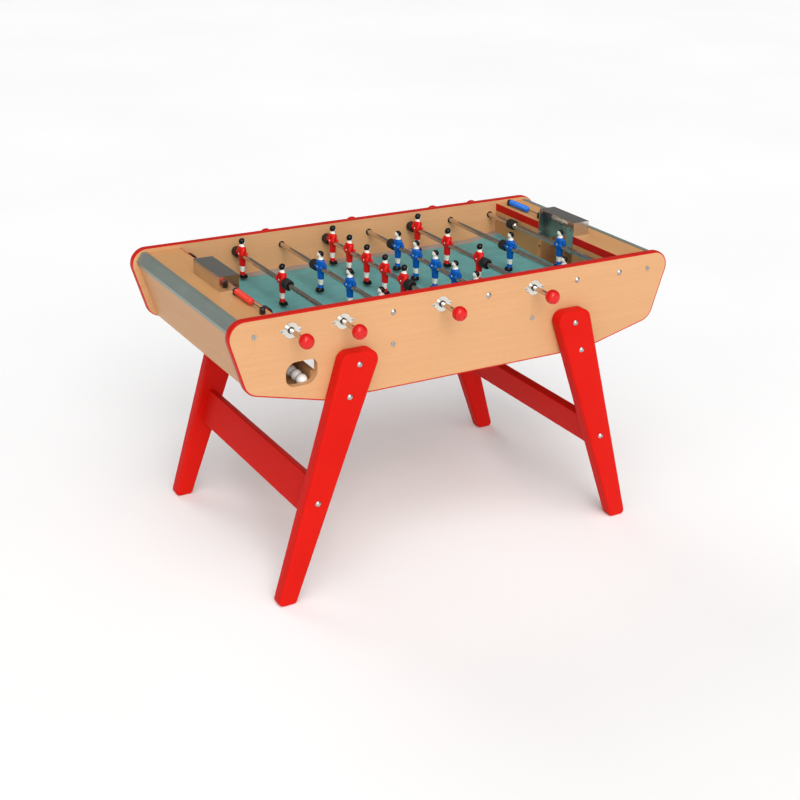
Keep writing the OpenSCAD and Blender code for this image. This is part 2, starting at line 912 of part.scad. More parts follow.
// Fixed bars on which the tubes slide and turn
module inner_bars() {
    color(steel) turned_pair()
        for (rod = RODS)
            if (!knob_in_front(rod[1]))
                difference() {
                    towards_front([rod_x(rod[1]), bar_l - inner_half, rod_z])
                        cylinder(d = bar_d, h = bar_l);
                    towards_front([rod_x(rod[1]), bar_thread_l - inner_half, rod_z])
                        cylinder(d = bolt_d + fit_gap, h = bar_thread_l + 1);
                }
}

// Flanged bushes through the side panel on the knob's side
module rod_bushes() {
    flange_w = 1;
    collar_out = 3;
    bush_l = flange_t + panel_t + plate_t + collar_out;
    color(rubber_black) turned_pair()
        for (rod = RODS)
            if (knob_in_front(rod[1]))
                towards_front([rod_x(rod[1]), flange_t - inner_half, rod_z])
                    difference() {
                        union() {
                            cylinder(d = bush_d + 2 * flange_w, h = flange_t);
                            cylinder(d = bush_d, h = bush_l);
                        }
                        translate([0, 0, -1]) cylinder(d = tube_d + 2 * run_gap, h = bush_l + 2);
                    }
}

// Lozenge plates that hold the bushes
module bush_plates() {
    long_half = 43;
    short_half = 18;
    tip_r = 6;
    side_r = 16;
    middle_d = 46;
    color(steel) turned_pair()
        for (rod = RODS)
            if (knob_in_front(rod[1]))
                translate([rod_x(rod[1]), 0, rod_z])
                    upright(-half_w - plate_t, plate_t)
                        difference() {
                            union() {
                                circle(d = middle_d);
                                rounded_outline(
                                    [[long_half, 0], [0, short_half], [-long_half, 0], [0, -short_half]],
                                    [tip_r, side_r, tip_r, side_r]
                                );
                            }
                            circle(d = bush_d);
                            for (side = [-1, 1])
                                translate([side * plate_screw_x, 0])
                                    circle(d = screw_shank * small_screw_d + fit_gap);
                        }
}

// Everything on a rod is drawn as for a red rod: knob in front, pushed in to the rear wall
module place_rod(place) {
    translate([rod_x(place), 0, rod_z])
        rotate([0, 0, knob_in_front(place) ? 0 : 180])
            children();
}

function man_y(count, i) = row_y(count) + (i - (count - 1) / 2) * step_of(count);

// Sliding tube, with two collars on a goalkeeper's rod
module rod_tube(count) {
    tube_l = knob_y + inner_half - tube_end_gap;
    towards_front([0, inner_half - tube_end_gap, 0])
        difference() {
            cylinder(d = tube_d, h = tube_l);
            translate([0, 0, -1]) cylinder(d = tube_d - 2 * tube_wall, h = tube_l + 2);
        }
    if (count == 1)
        for (side = [-1, 1])
            translate([0, row_y(1) + side * (keeper_stop - bumper_l - stop_gap - collar_l / 2), 0])
                rotate([90, 0, 0])
                    difference() {
                        cylinder(d = tube_d + 7, h = collar_l, center = true);
                        cylinder(d = tube_d + 2 * run_gap, h = collar_l + 2, center = true);
                    }
}

// Round knob with a flat front and a short neck
module rod_knob() {
    knob_r = knob_d / 2;
    neck_r = 10;
    neck_l = 25;
    flat_z = 0.86 * knob_r;
    towards_front([0, -knob_y, 0])
        rotate_extrude() difference() {
            intersection() {
                union() {
                    circle(d = knob_d);
                    translate([0, -neck_l]) square([neck_r, neck_l]);
                }
                translate([0, -neck_l]) square([knob_d, neck_l + flat_z]);
            }
            translate([0, -knob_bore_l - 2]) square([tube_d / 2, knob_bore_l + 2]);
        }
}

// A rubber bumper with rounded rims and dished ends that starts at y and runs to the rear
module bumper(y) {
    rim = 2.5;
    dish = 4;
    out_r = bumper_d / 2;
    towards_front([0, y + bumper_l, 0])
        rotate_extrude() difference() {
            union() {
                square([out_r - rim, bumper_l]);
                translate([0, rim]) square([out_r, bumper_l - 2 * rim]);
                for (z = [rim, bumper_l - rim])
                    translate([out_r - rim, z]) circle(r = rim);
            }
            translate([0, -1]) square([tube_d / 2 + run_gap, bumper_l + 2]);
            for (z = [-dish, bumper_l - dish])
                translate([0, z]) square([out_r - 2 * rim, 2 * dish]);
        }
}

module rod_bumpers(count) {
    bumper(row_y(count) + stack_half(count) - bumper_l);
    bumper(row_y(count) - stack_half(count));
}

// One man on the rod axis, facing +X: cast in one piece and drilled for the rod
module man() {
    difference() {
        union() {
            translate([0, 0, head_z]) sphere(d = head_d);
            body();
            front_and_back() arm();
            rotate([90, 0, 0]) cylinder(d = hip_d, h = hip_l, center = true);
            boots();
        }
        rotate([90, 0, 0]) cylinder(d = tube_d, h = 2 * man_w, center = true);
    }
}

// Neck, shoulders, chest, shorts and legs turned about the upright axis, then cut to the
// depth that the side view shows
module body() {
    ankle_z = 0.4 * boot_h - foot_reach;
    intersection() {
        rotate_extrude()
            polygon([
                [0, ankle_z],
                [0.37 * hip_d, ankle_z],
                [0.42 * hip_d, hem_z],
                [0.47 * hip_d, hem_z],
                [0.49 * hip_d, -0.2 * hip_d],
                [0.46 * hip_d, 0.2 * hip_d],
                [0.56 * hip_d, collar_z - 0.3 * hip_d],
                [0.53 * hip_d, collar_z - 0.1 * hip_d],
                [0.4 * hip_d, collar_z],
                [0.28 * hip_d, collar_z],
                [0.18 * hip_d, head_z],
                [0, head_z]
            ]);
        upright(-man_w, 2 * man_w)
            polygon([
                [-0.25 * hip_d, ankle_z - 1],
                [0.25 * hip_d, ankle_z - 1],
                [0.3 * hip_d, hem_z],
                [0.37 * hip_d, hem_z],
                [0.45 * hip_d, 0],
                [0.42 * hip_d, collar_z - 0.4 * hip_d],
                [0.3 * hip_d, head_z + 1],
                [-0.3 * hip_d, head_z + 1],
                [-0.4 * hip_d, collar_z - 0.3 * hip_d],
                [-0.45 * hip_d, 0],
                [-0.37 * hip_d, hem_z],
                [-0.3 * hip_d, hem_z]
            ]);
    }
}

// The left arm, bent with its elbow behind and its fist in front
module arm() {
    arm_y = man_half - arm_d / 2;
    shoulder = [0, collar_z - 0.6 * arm_d];
    elbow = [-0.32 * hip_d, 0.5 * arm_d];
    fist = [0.44 * hip_d, 0.7 * arm_d];
    for (bone = [[shoulder, elbow], [elbow, fist]])
        translate([bone[0][0], arm_y, bone[0][1]])
            rotate([0, atan2(bone[1][0] - bone[0][0], bone[1][1] - bone[0][1]), 0])
                cylinder(d = 0.9 * arm_d, h = norm(bone[1] - bone[0]));
    for (joint = [shoulder, elbow, fist])
        translate([joint[0], arm_y, joint[1]]) sphere(d = arm_d);
}

// Both boots in one block with a sloping instep and a round toe
module boots() {
    heel = 0.6 * toe_out;
    boot_half = 0.48 * hip_d;
    top_z = boot_h - foot_reach;
    intersection() {
        upright(-boot_half, 2 * boot_half)
            polygon([
                [-heel, -foot_reach],
                [toe_out, -foot_reach],
                [toe_out, top_z - 0.6 * boot_h],
                [0.4 * toe_out, top_z],
                [-0.7 * heel, top_z]
            ]);
        translate([0.2 * toe_out, 0, -foot_reach - 1]) cylinder(r = 1.05 * toe_out, h = boot_h + 2);
    }
}

module rod_men(count) {
    for (i = [0 : count - 1])
        translate([0, man_y(count, i), 0]) man();
}

function team_colour(place) = knob_in_front(place) ? band_red : team_blue;

// One piece of one rod, in its colour
module rod_piece(rod, piece) {
    place = rod[1];
    count = rod[2];
    place_rod(place) {
        if (piece == "tube") color(steel) rod_tube(count);
        if (piece == "men") color(team_colour(place)) rod_men(count);
        if (piece == "knob") color(band_red) rod_knob();
        if (piece == "bumpers") color(rubber_black) rod_bumpers(count);
    }
}

front_side_panel();
rear_side_panel();
edge_bands();
end_panels();
end_decks();
corner_trims();
goal_walls();
goal_boxes();
goal_hoods();
ball_troughs();
playfield_board();
playfield_cover();
side_strips();
score_posts();
score_wires();
red_score_beads();
blue_score_beads();
front_left_leg();
front_right_leg();
rear_left_leg();
rear_right_leg();
stretchers();
dome_bolts();
panel_screws();
inner_bars();
rod_bushes();
bush_plates();
balls();
for (rod = RODS)
    for (piece = ROD_PIECES)
        rod_piece(rod, piece);
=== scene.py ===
"""Looks of the table football table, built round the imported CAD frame.

New pieces are grids of points worked out with numpy, in metres, in the frame's own axes:
+X along the table, +Y from the front panel to the rear panel, +Z up.
"""

import json
import math

import bmesh
import bpy
import numpy as np
from mathutils import Matrix, Vector

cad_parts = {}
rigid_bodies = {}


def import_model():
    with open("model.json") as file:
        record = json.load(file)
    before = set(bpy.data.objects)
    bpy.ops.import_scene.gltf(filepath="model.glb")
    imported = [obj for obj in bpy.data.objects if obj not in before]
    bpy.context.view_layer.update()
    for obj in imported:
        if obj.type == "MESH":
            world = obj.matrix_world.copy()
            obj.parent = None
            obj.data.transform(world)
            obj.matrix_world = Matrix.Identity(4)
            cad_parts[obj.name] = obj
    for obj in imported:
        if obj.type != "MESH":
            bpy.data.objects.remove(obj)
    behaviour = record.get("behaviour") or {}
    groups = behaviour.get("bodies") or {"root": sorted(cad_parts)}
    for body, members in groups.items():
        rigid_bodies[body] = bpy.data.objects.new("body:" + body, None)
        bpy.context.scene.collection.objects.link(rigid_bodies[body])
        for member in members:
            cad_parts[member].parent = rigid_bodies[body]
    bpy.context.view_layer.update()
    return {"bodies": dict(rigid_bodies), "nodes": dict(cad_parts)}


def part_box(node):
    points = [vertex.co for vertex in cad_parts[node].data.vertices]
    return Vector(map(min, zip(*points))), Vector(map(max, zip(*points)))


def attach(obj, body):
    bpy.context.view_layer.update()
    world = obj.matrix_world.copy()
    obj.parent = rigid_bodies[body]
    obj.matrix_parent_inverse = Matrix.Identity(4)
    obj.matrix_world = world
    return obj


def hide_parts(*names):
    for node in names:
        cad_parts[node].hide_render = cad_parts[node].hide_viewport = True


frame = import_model()

MM = 0.001
FULL_TURN = 2 * math.pi
QUARTER = math.pi / 2
QUARTER_BEND = np.linspace(0, QUARTER, 7)

# Points closer than this become one, in millimetres
MERGE_GAP = 0.001

# Edges that turn by more than this stay sharp
SHARP_ANGLE = math.radians(40)

# Depth of the bumps of a finish, in metres
BUMP_DEPTH = 0.0002

# Sizes that the looks share with the CAD model, in millimetres
PANEL_T = 22.0
HALF_W = 380.0
BAND_T = 2.5
HALF_TOP = 771.0
TABLE_H = 891.0
PANEL_H = 282.0
HALF_BELLY = 455.0
END_LEAN = math.radians(17.2)
BELLY_RISE = math.radians(14.0)
PANEL_CORNER_R = 50.0
LEG_T = 46.0
LEG_H = 760.0
LEG_TOP_X = 363.0
LEG_TOP_W = 125.0
LEG_FOOT_X = 610.0
LEG_FOOT_W = 60.0
LEG_RADII = [14, 14, 32, 32]
LEG_TILT = math.atan2(LEG_FOOT_X - LEG_TOP_X, LEG_H)
STRETCHER_T = 28.0
STRETCHER_H = 110.0
STRETCHER_Z = 313.0
STRETCHER_X = LEG_FOOT_X - math.tan(LEG_TILT) * STRETCHER_Z
TUBE_R = 8.0
TUBE_WALL = 1.5
KNOB_R = 22.0
BUMPER_R = 16.5
BUMPER_L = 30.0
MAN_W = 38.0
BALL_R = 17.0
POST_D = 17.0


def linear(red, green, blue):
    """Scene-linear colour, with alpha, of a screen colour given from 0 to 255: the usual curve of
    screens, a straight line up to a knee and a power above it."""
    brightest, knee, slope, lift, power = 255, 0.04045, 12.92, 0.055, 2.4
    screen = np.array([red, green, blue]) / brightest
    low = screen / slope
    high = ((screen + lift) / (1 + lift)) ** power
    return (*np.where(screen <= knee, low, high).tolist(), 1.0)


def box_mm(node):
    """Lowest and highest corner of a CAD node, in millimetres."""
    return tuple(np.array(corner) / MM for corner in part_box(node))


# Grids of points


def grid_faces(rows, cols, first, wrap_rows, wrap_cols):
    """Quads between neighbouring points of a grid whose points start at index first."""
    row, col = np.meshgrid(
        np.arange(rows if wrap_rows else rows - 1),
        np.arange(cols if wrap_cols else cols - 1),
        indexing="ij",
    )
    next_row = (row + 1) % rows
    next_col = (col + 1) % cols
    quads = np.stack(
        [row * cols + col, row * cols + next_col, next_row * cols + next_col, next_row * cols + col],
        axis=-1,
    )
    return first + quads.reshape(-1, 4)


def sheet(points, finish=0, wrap_rows=False, wrap_cols=True, capped=False):
    """A grid of points with its finish number; capped closes its first and last row by a face each."""
    return {
        "points": np.asarray(points, float),
        "finish": finish,
        "wrap_rows": wrap_rows,
        "wrap_cols": wrap_cols,
        "capped": capped,
    }


def moved(sheets, offset, half_turn=False):
    """The same sheets, turned half a turn about Z where asked, then shifted by offset."""
    turn = np.array([-1, -1, 1]) if half_turn else np.ones(3)
    return [dict(s, points=s["points"] * turn + np.asarray(offset)) for s in sheets]


def make_piece(name, sheets, finishes, body, node):
    """One object from several sheets in millimetres, riding on a body in place of its CAD node."""
    points, faces, numbers = [], [], []
    first = 0
    for s in sheets:
        rows, cols = s["points"].shape[:2]
        quads = grid_faces(rows, cols, first, s["wrap_rows"], s["wrap_cols"]).tolist()
        if s["capped"]:
            quads.append(list(range(first, first + cols)))
            quads.append(list(range(first + (rows - 1) * cols, first + rows * cols)))
        points.append(s["points"].reshape(-1, 3))
        faces += quads
        numbers += [s["finish"]] * len(quads)
        first += rows * cols
    mesh = bpy.data.meshes.new(name)
    mesh.from_pydata((np.concatenate(points) * MM).tolist(), [], faces)
    mesh.polygons.foreach_set("material_index", np.array(numbers, dtype=np.int32))
    work = bmesh.new()
    work.from_mesh(mesh)
    bmesh.ops.remove_doubles(work, verts=work.verts, dist=MERGE_GAP * MM)
    bmesh.ops.recalc_face_normals(work, faces=work.faces)
    work.to_mesh(mesh)
    work.free()
    mesh.polygons.foreach_set("use_smooth", np.ones(len(mesh.polygons), dtype=bool))
    mesh.set_sharp_from_angle(angle=SHARP_ANGLE)
    for finish in finishes:
        mesh.materials.append(finish)
    obj = bpy.data.objects.new(name, mesh)
    bpy.context.scene.collection.objects.link(obj)
    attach(obj, body)
    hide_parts(node)


def dress(node, finish):
    """Gives a CAD node its finish."""
    for material_slot in frame["nodes"][node].material_slots:
        material_slot.material = finish


# Curves and surfaces


def smooth_rows(stations, steps):
    """A smooth curve through the stations: each stretch is the cubic whose slope at a station is
    half the difference of that station's neighbours."""
    stations = np.asarray(stations, float)
    padded = np.concatenate([stations[:1], stations, stations[-1:]])
    along = np.linspace(0, len(stations) - 1, steps)
    index = np.minimum(along.astype(int), len(stations) - 2)
    t = (along - index)[:, None]
    before, start, end, after = (padded[index + i] for i in range(4))
    return 0.5 * (
        2 * start
        + (end - before) * t
        + (2 * before - 5 * start + 4 * end - after) * t**2
        + (3 * start - before - 3 * end + after) * t**3
    )


def rounded_outline(corners, radii, steps=14):
    """Points and outward normals round a convex outline listed anticlockwise: at each corner an
    arc of its radius that touches both edges, with straight edges between the arcs."""
    corners = np.asarray(corners, float)
    radii = np.asarray(radii, float)[:, None]
    ahead = np.roll(corners, -1, axis=0) - corners
    ahead /= np.linalg.norm(ahead, axis=1, keepdims=True)
    out_after = np.stack([ahead[:, 1], -ahead[:, 0]], axis=1)
    out_before = np.roll(out_after, 1, axis=0)
    facing = np.sum(out_before * out_after, axis=1, keepdims=True)
    centres = corners - radii * (out_before + out_after) / (1 + facing)
    start = np.arctan2(out_before[:, 1], out_before[:, 0])[:, None]
    turn = np.arccos(np.clip(facing, -1, 1))
    angle = start + turn * np.linspace(0, 1, steps)
    normals = np.stack([np.cos(angle), np.sin(angle)], axis=-1)
    points = centres[:, None, :] + radii[:, None, :] * normals
    return points.reshape(-1, 2), normals.reshape(-1, 2)


def rings_round(outline, normals, insets, depths):
    """Rings of points in X, Y and Z: ring i is the outline in X and Z, moved in by insets[i], at
    Y = depths[i]."""
    flat = outline[None] - np.asarray(insets)[:, None, None] * normals[None]
    depth = np.broadcast_to(np.asarray(depths)[:, None], flat.shape[:2])
    return np.stack([flat[..., 0], depth, flat[..., 1]], axis=-1)


def board(corners, radii, front, back, arris):
    """A board between two Y values with rounded edges: the outline moves out from the front face
    by a quarter circle, runs through the thickness and moves in again by a quarter circle."""
    outline, normals = rounded_outline(corners, radii)
    inset = arris * (1 - np.sin(QUARTER_BEND))
    depth = arris * (1 - np.cos(QUARTER_BEND))
    insets = np.concatenate([inset, inset[::-1]])
    depths = np.concatenate([front + depth, back - depth[::-1]])
    return sheet(rings_round(outline, normals, insets, depths), capped=True)


def turned(profile, x, z, sides=48, finish=0, wrap_rows=False):
    """A profile of (radius, y) points turned round the line through x and z along Y."""
    profile = np.asarray(profile, float)
    angle = np.linspace(0, FULL_TURN, sides, endpoint=False)
    radius, along = profile[:, :1], profile[:, 1:]
    across = x + radius * np.cos(angle)
    up = z + radius * np.sin(angle)
    points = np.stack([across, np.broadcast_to(along, up.shape), up], axis=-1)
    return sheet(points, finish, wrap_rows=wrap_rows)


def loft(stations, rows=40, sides=40, crease=0.0, finish=0):
    """A body of stacked rings. A station is (height, middle in X, half depth, half width,
    squareness): its ring is x = depth * cos(a)^(2/s), y = width * sin(a)^(2/s), and crease pulls
    the depth in near the middle of the width."""
    crease_half = 0.28
    height, middle, depth, width, square = smooth_rows(stations, rows).T[:, :, None]
    angle = np.linspace(0, FULL_TURN, sides, endpoint=False)[None]
    power = 2 / square
    across = np.sign(np.sin(angle)) * np.abs(np.sin(angle)) ** power
    forward = np.sign(np.cos(angle)) * np.abs(np.cos(angle)) ** power
    forward = forward * (1 - crease * np.exp(-((across / crease_half) ** 2)))
    points = np.stack(
        [middle + depth * forward, width * across, np.broadcast_to(height, across.shape)], axis=-1
    )
    return sheet(points, finish, capped=True)


def limb(path, radii, rows=26, sides=20, finish=0):
    """A round limb: rings square to a smooth path, whose radius follows the radii and closes over
    one radius at both ends like a half sphere."""
    least_share, level = 0.02, [1.0, 0.0, 0.1]
    line = smooth_rows(path, rows)
    length = np.sum(np.linalg.norm(np.diff(line, axis=0), axis=1))
    v = np.linspace(0, 1, rows)
    size = np.interp(v, np.linspace(0, 1, len(radii)), radii)
    near_end = np.clip(np.minimum(v, 1 - v) * length / size, 0, 1)
    size = size * np.sqrt(np.clip(1 - (1 - near_end) ** 2, least_share**2, 1))
    along = np.gradient(line, axis=0)
    along /= np.linalg.norm(along, axis=1, keepdims=True)
    side = np.cross(along, level)
    side /= np.linalg.norm(side, axis=1, keepdims=True)
    up = np.cross(along, side)
    angle = np.linspace(0, FULL_TURN, sides, endpoint=False)[None, :, None]
    ring = np.cos(angle) * side[:, None] + np.sin(angle) * up[:, None]
    return sheet(line[:, None] + size[:, None, None] * ring, finish, capped=True)


def ball(centre, radii, rows=24, sides=32, finish=0):
    """A ball or egg: centre + radii times the unit direction, from pole to pole along Z."""
    polar = np.linspace(0, math.pi, rows)[:, None]
    angle = np.linspace(0, FULL_TURN, sides, endpoint=False)[None]
    direction = np.stack(
        [np.sin(polar) * np.cos(angle), np.sin(polar) * np.sin(angle), np.cos(polar) + 0 * angle], axis=-1
    )
    return sheet(np.asarray(centre) + np.asarray(radii) * direction, finish)


# Finishes: shared node groups first, then one material for each finish


def new_group(name, inputs, outputs):
    """An empty shader node group with named sockets; returns the group and its two end nodes."""
    group = bpy.data.node_groups.new(name, "ShaderNodeTree")
    for kind, label in inputs:
        group.interface.new_socket(name=label, in_out="INPUT", socket_type="NodeSocket" + kind)
    for kind, label in outputs:
        group.interface.new_socket(name=label, in_out="OUTPUT", socket_type="NodeSocket" + kind)
    return group, group.nodes.new("NodeGroupInput"), group.nodes.new("NodeGroupOutput")


def add(tree, kind, **settings):
    """A new node of that kind with its properties set."""
    node = tree.nodes.new("ShaderNode" + kind)
    for key, value in settings.items():
        setattr(node, key, value)
    return node


def feed(tree, socket, given):
    """Sets a socket to a number, or links another socket to it."""
    if isinstance(given, (int, float)):
        socket.default_value = given
    else:
        tree.links.new(given, socket)


def noise(tree, vector, scale, detail=4.0, roughness=0.55):
    """A noise texture on the vector given; scale is a number or a socket."""
    node = add(tree, "TexNoise")
    node.inputs["Detail"].default_value = detail
    node.inputs["Roughness"].default_value = roughness
    feed(tree, node.inputs["Scale"], scale)
    tree.links.new(vector, node.inputs["Vector"])
    return node.outputs["Fac"]


def stretch(tree, value, low, high, to_low=0.0, to_high=1.0):
    """Maps value from low..high to to_low..to_high; the last two are numbers or sockets."""
    node = add(tree, "MapRange")
    node.inputs["From Min"].default_value = low
    node.inputs["From Max"].default_value = high
    feed(tree, node.inputs["To Min"], to_low)
    feed(tree, node.inputs["To Max"], to_high)
    tree.links.new(value, node.inputs["Value"])
    return node.outputs["Result"]


def mix_colour(tree, factor, first, second):
    """Mixes two colour sockets by a factor socket."""
    node = add(tree, "Mix", data_type="RGBA")
    tree.links.new(factor, node.inputs["Factor"])
    tree.links.new(first, node.inputs["A"])
    tree.links.new(second, node.inputs["B"])
    return node.outputs["Result"]


def make_uneven_group():
    """Uneven finish: cloudy noise mixes two tones and moves the roughness between two values, and
    fine noise gives a height for bumps."""
    group, start, end = new_group(
        "uneven_finish",
        [
            ("Vector", "Vector"),
            ("Color", "Light tone"),
            ("Color", "Dark tone"),
            ("Float", "Cloud scale"),
            ("Float", "Fine scale"),
            ("Float", "Smooth"),
            ("Float", "Rough"),
        ],
        [("Color", "Color"), ("Float", "Roughness"), ("Float", "Height")],
    )
    low, high = 0.3, 0.7
    cloud = noise(group, start.outputs["Vector"], start.outputs["Cloud scale"])
    fine = noise(group, start.outputs["Vector"], start.outputs["Fine scale"], detail=2.0)
    shade = stretch(group, cloud, low, high)
    colour = mix_colour(group, shade, start.outputs["Dark tone"], start.outputs["Light tone"])
    rough = stretch(group, cloud, low, high, start.outputs["Smooth"], start.outputs["Rough"])
    group.links.new(colour, end.inputs["Color"])
    group.links.new(rough, end.inputs["Roughness"])
    group.links.new(fine, end.inputs["Height"])
    return group


def make_grain_group():
    """Straight grain: noise drawn out along the first axis gives broad figure, fine lines and short pores,
    which mix three tones; the lines are also a height."""
    group, start, end = new_group(
        "straight_grain",
        [
            ("Vector", "Vector"),
            ("Color", "Light tone"),
            ("Color", "Dark tone"),
            ("Color", "Pore tone"),
            ("Float", "Smooth"),
            ("Float", "Rough"),
        ],
        [("Color", "Color"), ("Float", "Roughness"), ("Float", "Height")],
    )

    def drawn_out(along, across, detail):
        """Noise on the vector after its first axis is scaled by along and the others by across."""
        mapping = add(group, "Mapping")
        mapping.inputs["Scale"].default_value = (along, across, across)
        group.links.new(start.outputs["Vector"], mapping.inputs["Vector"])
        return noise(group, mapping.outputs["Vector"], 1.0, detail=detail, roughness=0.6)

    figure_share = line_share = 0.5
    figure = stretch(group, drawn_out(along=0.9, across=16.0, detail=3.0), low=0.3, high=0.7)
    lines = stretch(group, drawn_out(along=5.0, across=330.0, detail=3.0), low=0.35, high=0.68)
    specks = drawn_out(along=45.0, across=800.0, detail=1.0)
    pores = stretch(group, specks, low=0.62, high=0.78, to_high=0.55)
    both = add(group, "Math", operation="MULTIPLY_ADD")
    both.inputs[1].default_value = line_share
    broad = add(group, "Math", operation="MULTIPLY")
    broad.inputs[1].default_value = figure_share
    group.links.new(figure, broad.inputs[0])
    group.links.new(lines, both.inputs[0])
    group.links.new(broad.outputs[0], both.inputs[2])
    tone = mix_colour(group, both.outputs[0], start.outputs["Dark tone"], start.outputs["Light tone"])
    pored = mix_colour(group, pores, tone, start.outputs["Pore tone"])
    rough = stretch(group, lines, 0.0, 1.0, start.outputs["Smooth"], start.outputs["Rough"])
    group.links.new(pored, end.inputs["Color"])
    group.links.new(rough, end.inputs["Roughness"])
    group.links.new(lines, end.inputs["Height"])
    return group


UNEVEN = make_uneven_group()
GRAIN = make_grain_group()


def start_material(name):
    """A new material; returns it with its node tree, its shader and its Object coordinates."""
    material = bpy.data.materials.new(name)
    material.use_nodes = True
    tree = material.node_tree
    shader = tree.nodes["Principled BSDF"]
    place = add(tree, "TexCoord").outputs["Object"]
    return material, tree, shader, place


def bump(tree, shader, height, strength):
    """Feeds a height to the shader's normal."""
    node = add(tree, "Bump")
    node.inputs["Strength"].default_value = strength
    node.inputs["Distance"].default_value = BUMP_DEPTH
    tree.links.new(height, node.inputs["Height"])
    tree.links.new(node.outputs["Normal"], shader.inputs["Normal"])


def place_group(tree, group, vector, values):
    """A node group in a material: it reads the vector, and its other inputs are set to values."""
    node = add(tree, "Group", node_tree=group)
    for label, value in values.items():
        node.inputs[label].default_value = value
    tree.links.new(vector, node.inputs["Vector"])
    return node


def uneven_material(
    name,
    light,
    dark,
    smooth,
    rough,
    cloud=12.0,
    fine=400.0,
    bump_strength=0.0,
    metallic=0.0,
    specular=0.5,
):
    """A finish of two close tones with an uneven gloss."""
    material, tree, shader, place = start_material(name)
    tones = {"Light tone": light, "Dark tone": dark, "Smooth": smooth, "Rough": rough}
    group = place_group(tree, UNEVEN, place, {**tones, "Cloud scale": cloud, "Fine scale": fine})
    tree.links.new(group.outputs["Color"], shader.inputs["Base Color"])
    tree.links.new(group.outputs["Roughness"], shader.inputs["Roughness"])
    shader.inputs["Metallic"].default_value = metallic
    shader.inputs["Specular IOR Level"].default_value = specular
    if bump_strength:
        bump(tree, shader, group.outputs["Height"], bump_strength)
    return material


def wood_material(name, light, dark, pore, turn=0.0, smooth=0.38, rough=0.5):
    """Varnished wood with straight grain along X, or along Y after a quarter turn about Z."""
    specular, bump_strength = 0.3, 0.06
    material, tree, shader, place = start_material(name)
    mapping = add(tree, "Mapping")
    mapping.inputs["Rotation"].default_value = (0, 0, turn)
    tree.links.new(place, mapping.inputs["Vector"])
    tones = {"Light tone": light, "Dark tone": dark, "Pore tone": pore}
    gloss = {"Smooth": smooth, "Rough": rough}
    group = place_group(tree, GRAIN, mapping.outputs["Vector"], {**tones, **gloss})
    tree.links.new(group.outputs["Color"], shader.inputs["Base Color"])
    tree.links.new(group.outputs["Roughness"], shader.inputs["Roughness"])
    shader.inputs["Specular IOR Level"].default_value = specular
    bump(tree, shader, group.outputs["Height"], bump_strength)
    return material


beech_along = wood_material(
    "beech_along", linear(207, 157, 112), linear(198, 148, 103), linear(176, 125, 82)
)
# Same beech with the grain across, in a darker, less blue tone: painted shade for the dimmer light on the
# decks, end panels and goal walls
shaded_beech_across = wood_material(
    "shaded_beech_across", linear(201, 149, 98), linear(191, 139, 89), linear(168, 118, 72), turn=QUARTER
)
inner_wood = wood_material(
    "inner_wood",
    linear(176, 130, 88),
    linear(158, 114, 74),
    linear(124, 86, 54),
    turn=QUARTER,
    smooth=0.5,
    rough=0.65,
)
leg_lacquer = uneven_material(
    "leg_lacquer",
    linear(203, 25, 15),
    linear(196, 20, 12),
    smooth=0.40,
    rough=0.52,
    cloud=5.0,
    fine=260.0,
    bump_strength=0.05,
    specular=0.06,
)
band_plastic = uneven_material(
    "band_plastic",
    linear(192, 26, 16),
    linear(180, 22, 13),
    smooth=0.34,
    rough=0.46,
    cloud=20.0,
    specular=0.14,
)
knob_plastic = uneven_material(
    "knob_plastic",
    linear(204, 16, 9),
    linear(194, 13, 7),
    smooth=0.10,
    rough=0.16,
    cloud=30.0,
    specular=0.4,
)
bead_red = uneven_material(
    "bead_red", linear(226, 48, 20), linear(214, 40, 16), smooth=0.08, rough=0.14, cloud=60.0, specular=0.5
)
bead_blue = uneven_material(
    "bead_blue", linear(0, 118, 226), linear(0, 106, 210), smooth=0.08, rough=0.14, cloud=60.0, specular=0.5
)
bright_chrome = uneven_material(
    "bright_chrome",
    linear(212, 204, 194),
    linear(198, 190, 180),
    smooth=0.03,
    rough=0.07,
    cloud=40.0,
    metallic=1.0,
)
bolt_steel = uneven_material(
    "bolt_steel",
    linear(188, 188, 187),
    linear(164, 164, 163),
    smooth=0.16,
    rough=0.28,
    cloud=120.0,
    metallic=1.0,
)
plate_steel = uneven_material(
    "plate_steel",
    linear(228, 223, 214),
    linear(218, 213, 204),
    smooth=0.18,
    rough=0.28,
    cloud=60.0,
    metallic=1.0,
)
trim_metal = uneven_material(
    "trim_metal",
    linear(134, 144, 137),
    linear(124, 134, 127),
    smooth=0.34,
    rough=0.46,
    cloud=9.0,
    metallic=0.35,
    specular=0.3,
)
field_lino = uneven_material(
    "field_lino",
    linear(100, 155, 153),
    linear(88, 141, 139),
    smooth=0.6,
    rough=0.75,
    cloud=26.0,
    fine=900.0,
    bump_strength=0.12,
    specular=0.25,
)
strip_lino = uneven_material(
    "strip_lino",
    linear(150, 136, 125),
    linear(138, 124, 114),
    smooth=0.5,
    rough=0.66,
    cloud=26.0,
    fine=900.0,
    bump_strength=0.1,
    specular=0.3,
)
black_plastic = uneven_material(
    "black_plastic", linear(30, 29, 29), linear(18, 17, 17), smooth=0.10, rough=0.20, cloud=60.0
)
rubber = uneven_material(
    "rubber",
    linear(36, 35, 34),
    linear(25, 24, 23),
    smooth=0.45,
    rough=0.62,
    cloud=50.0,
    fine=900.0,
    bump_strength=0.12,
    specular=0.3,
)
white_ball = uneven_material(
    "white_ball", linear(240, 240, 238), linear(230, 230, 228), smooth=0.35, rough=0.5, cloud=60.0
)
paint_red = uneven_material(
    "paint_red",
    linear(216, 18, 13),
    linear(202, 14, 10),
    smooth=0.20,
    rough=0.30,
    cloud=90.0,
    specular=0.22,
)
paint_blue = uneven_material(
    "paint_blue", linear(0, 92, 182), linear(0, 80, 164), smooth=0.20, rough=0.30, cloud=90.0, specular=0.22
)
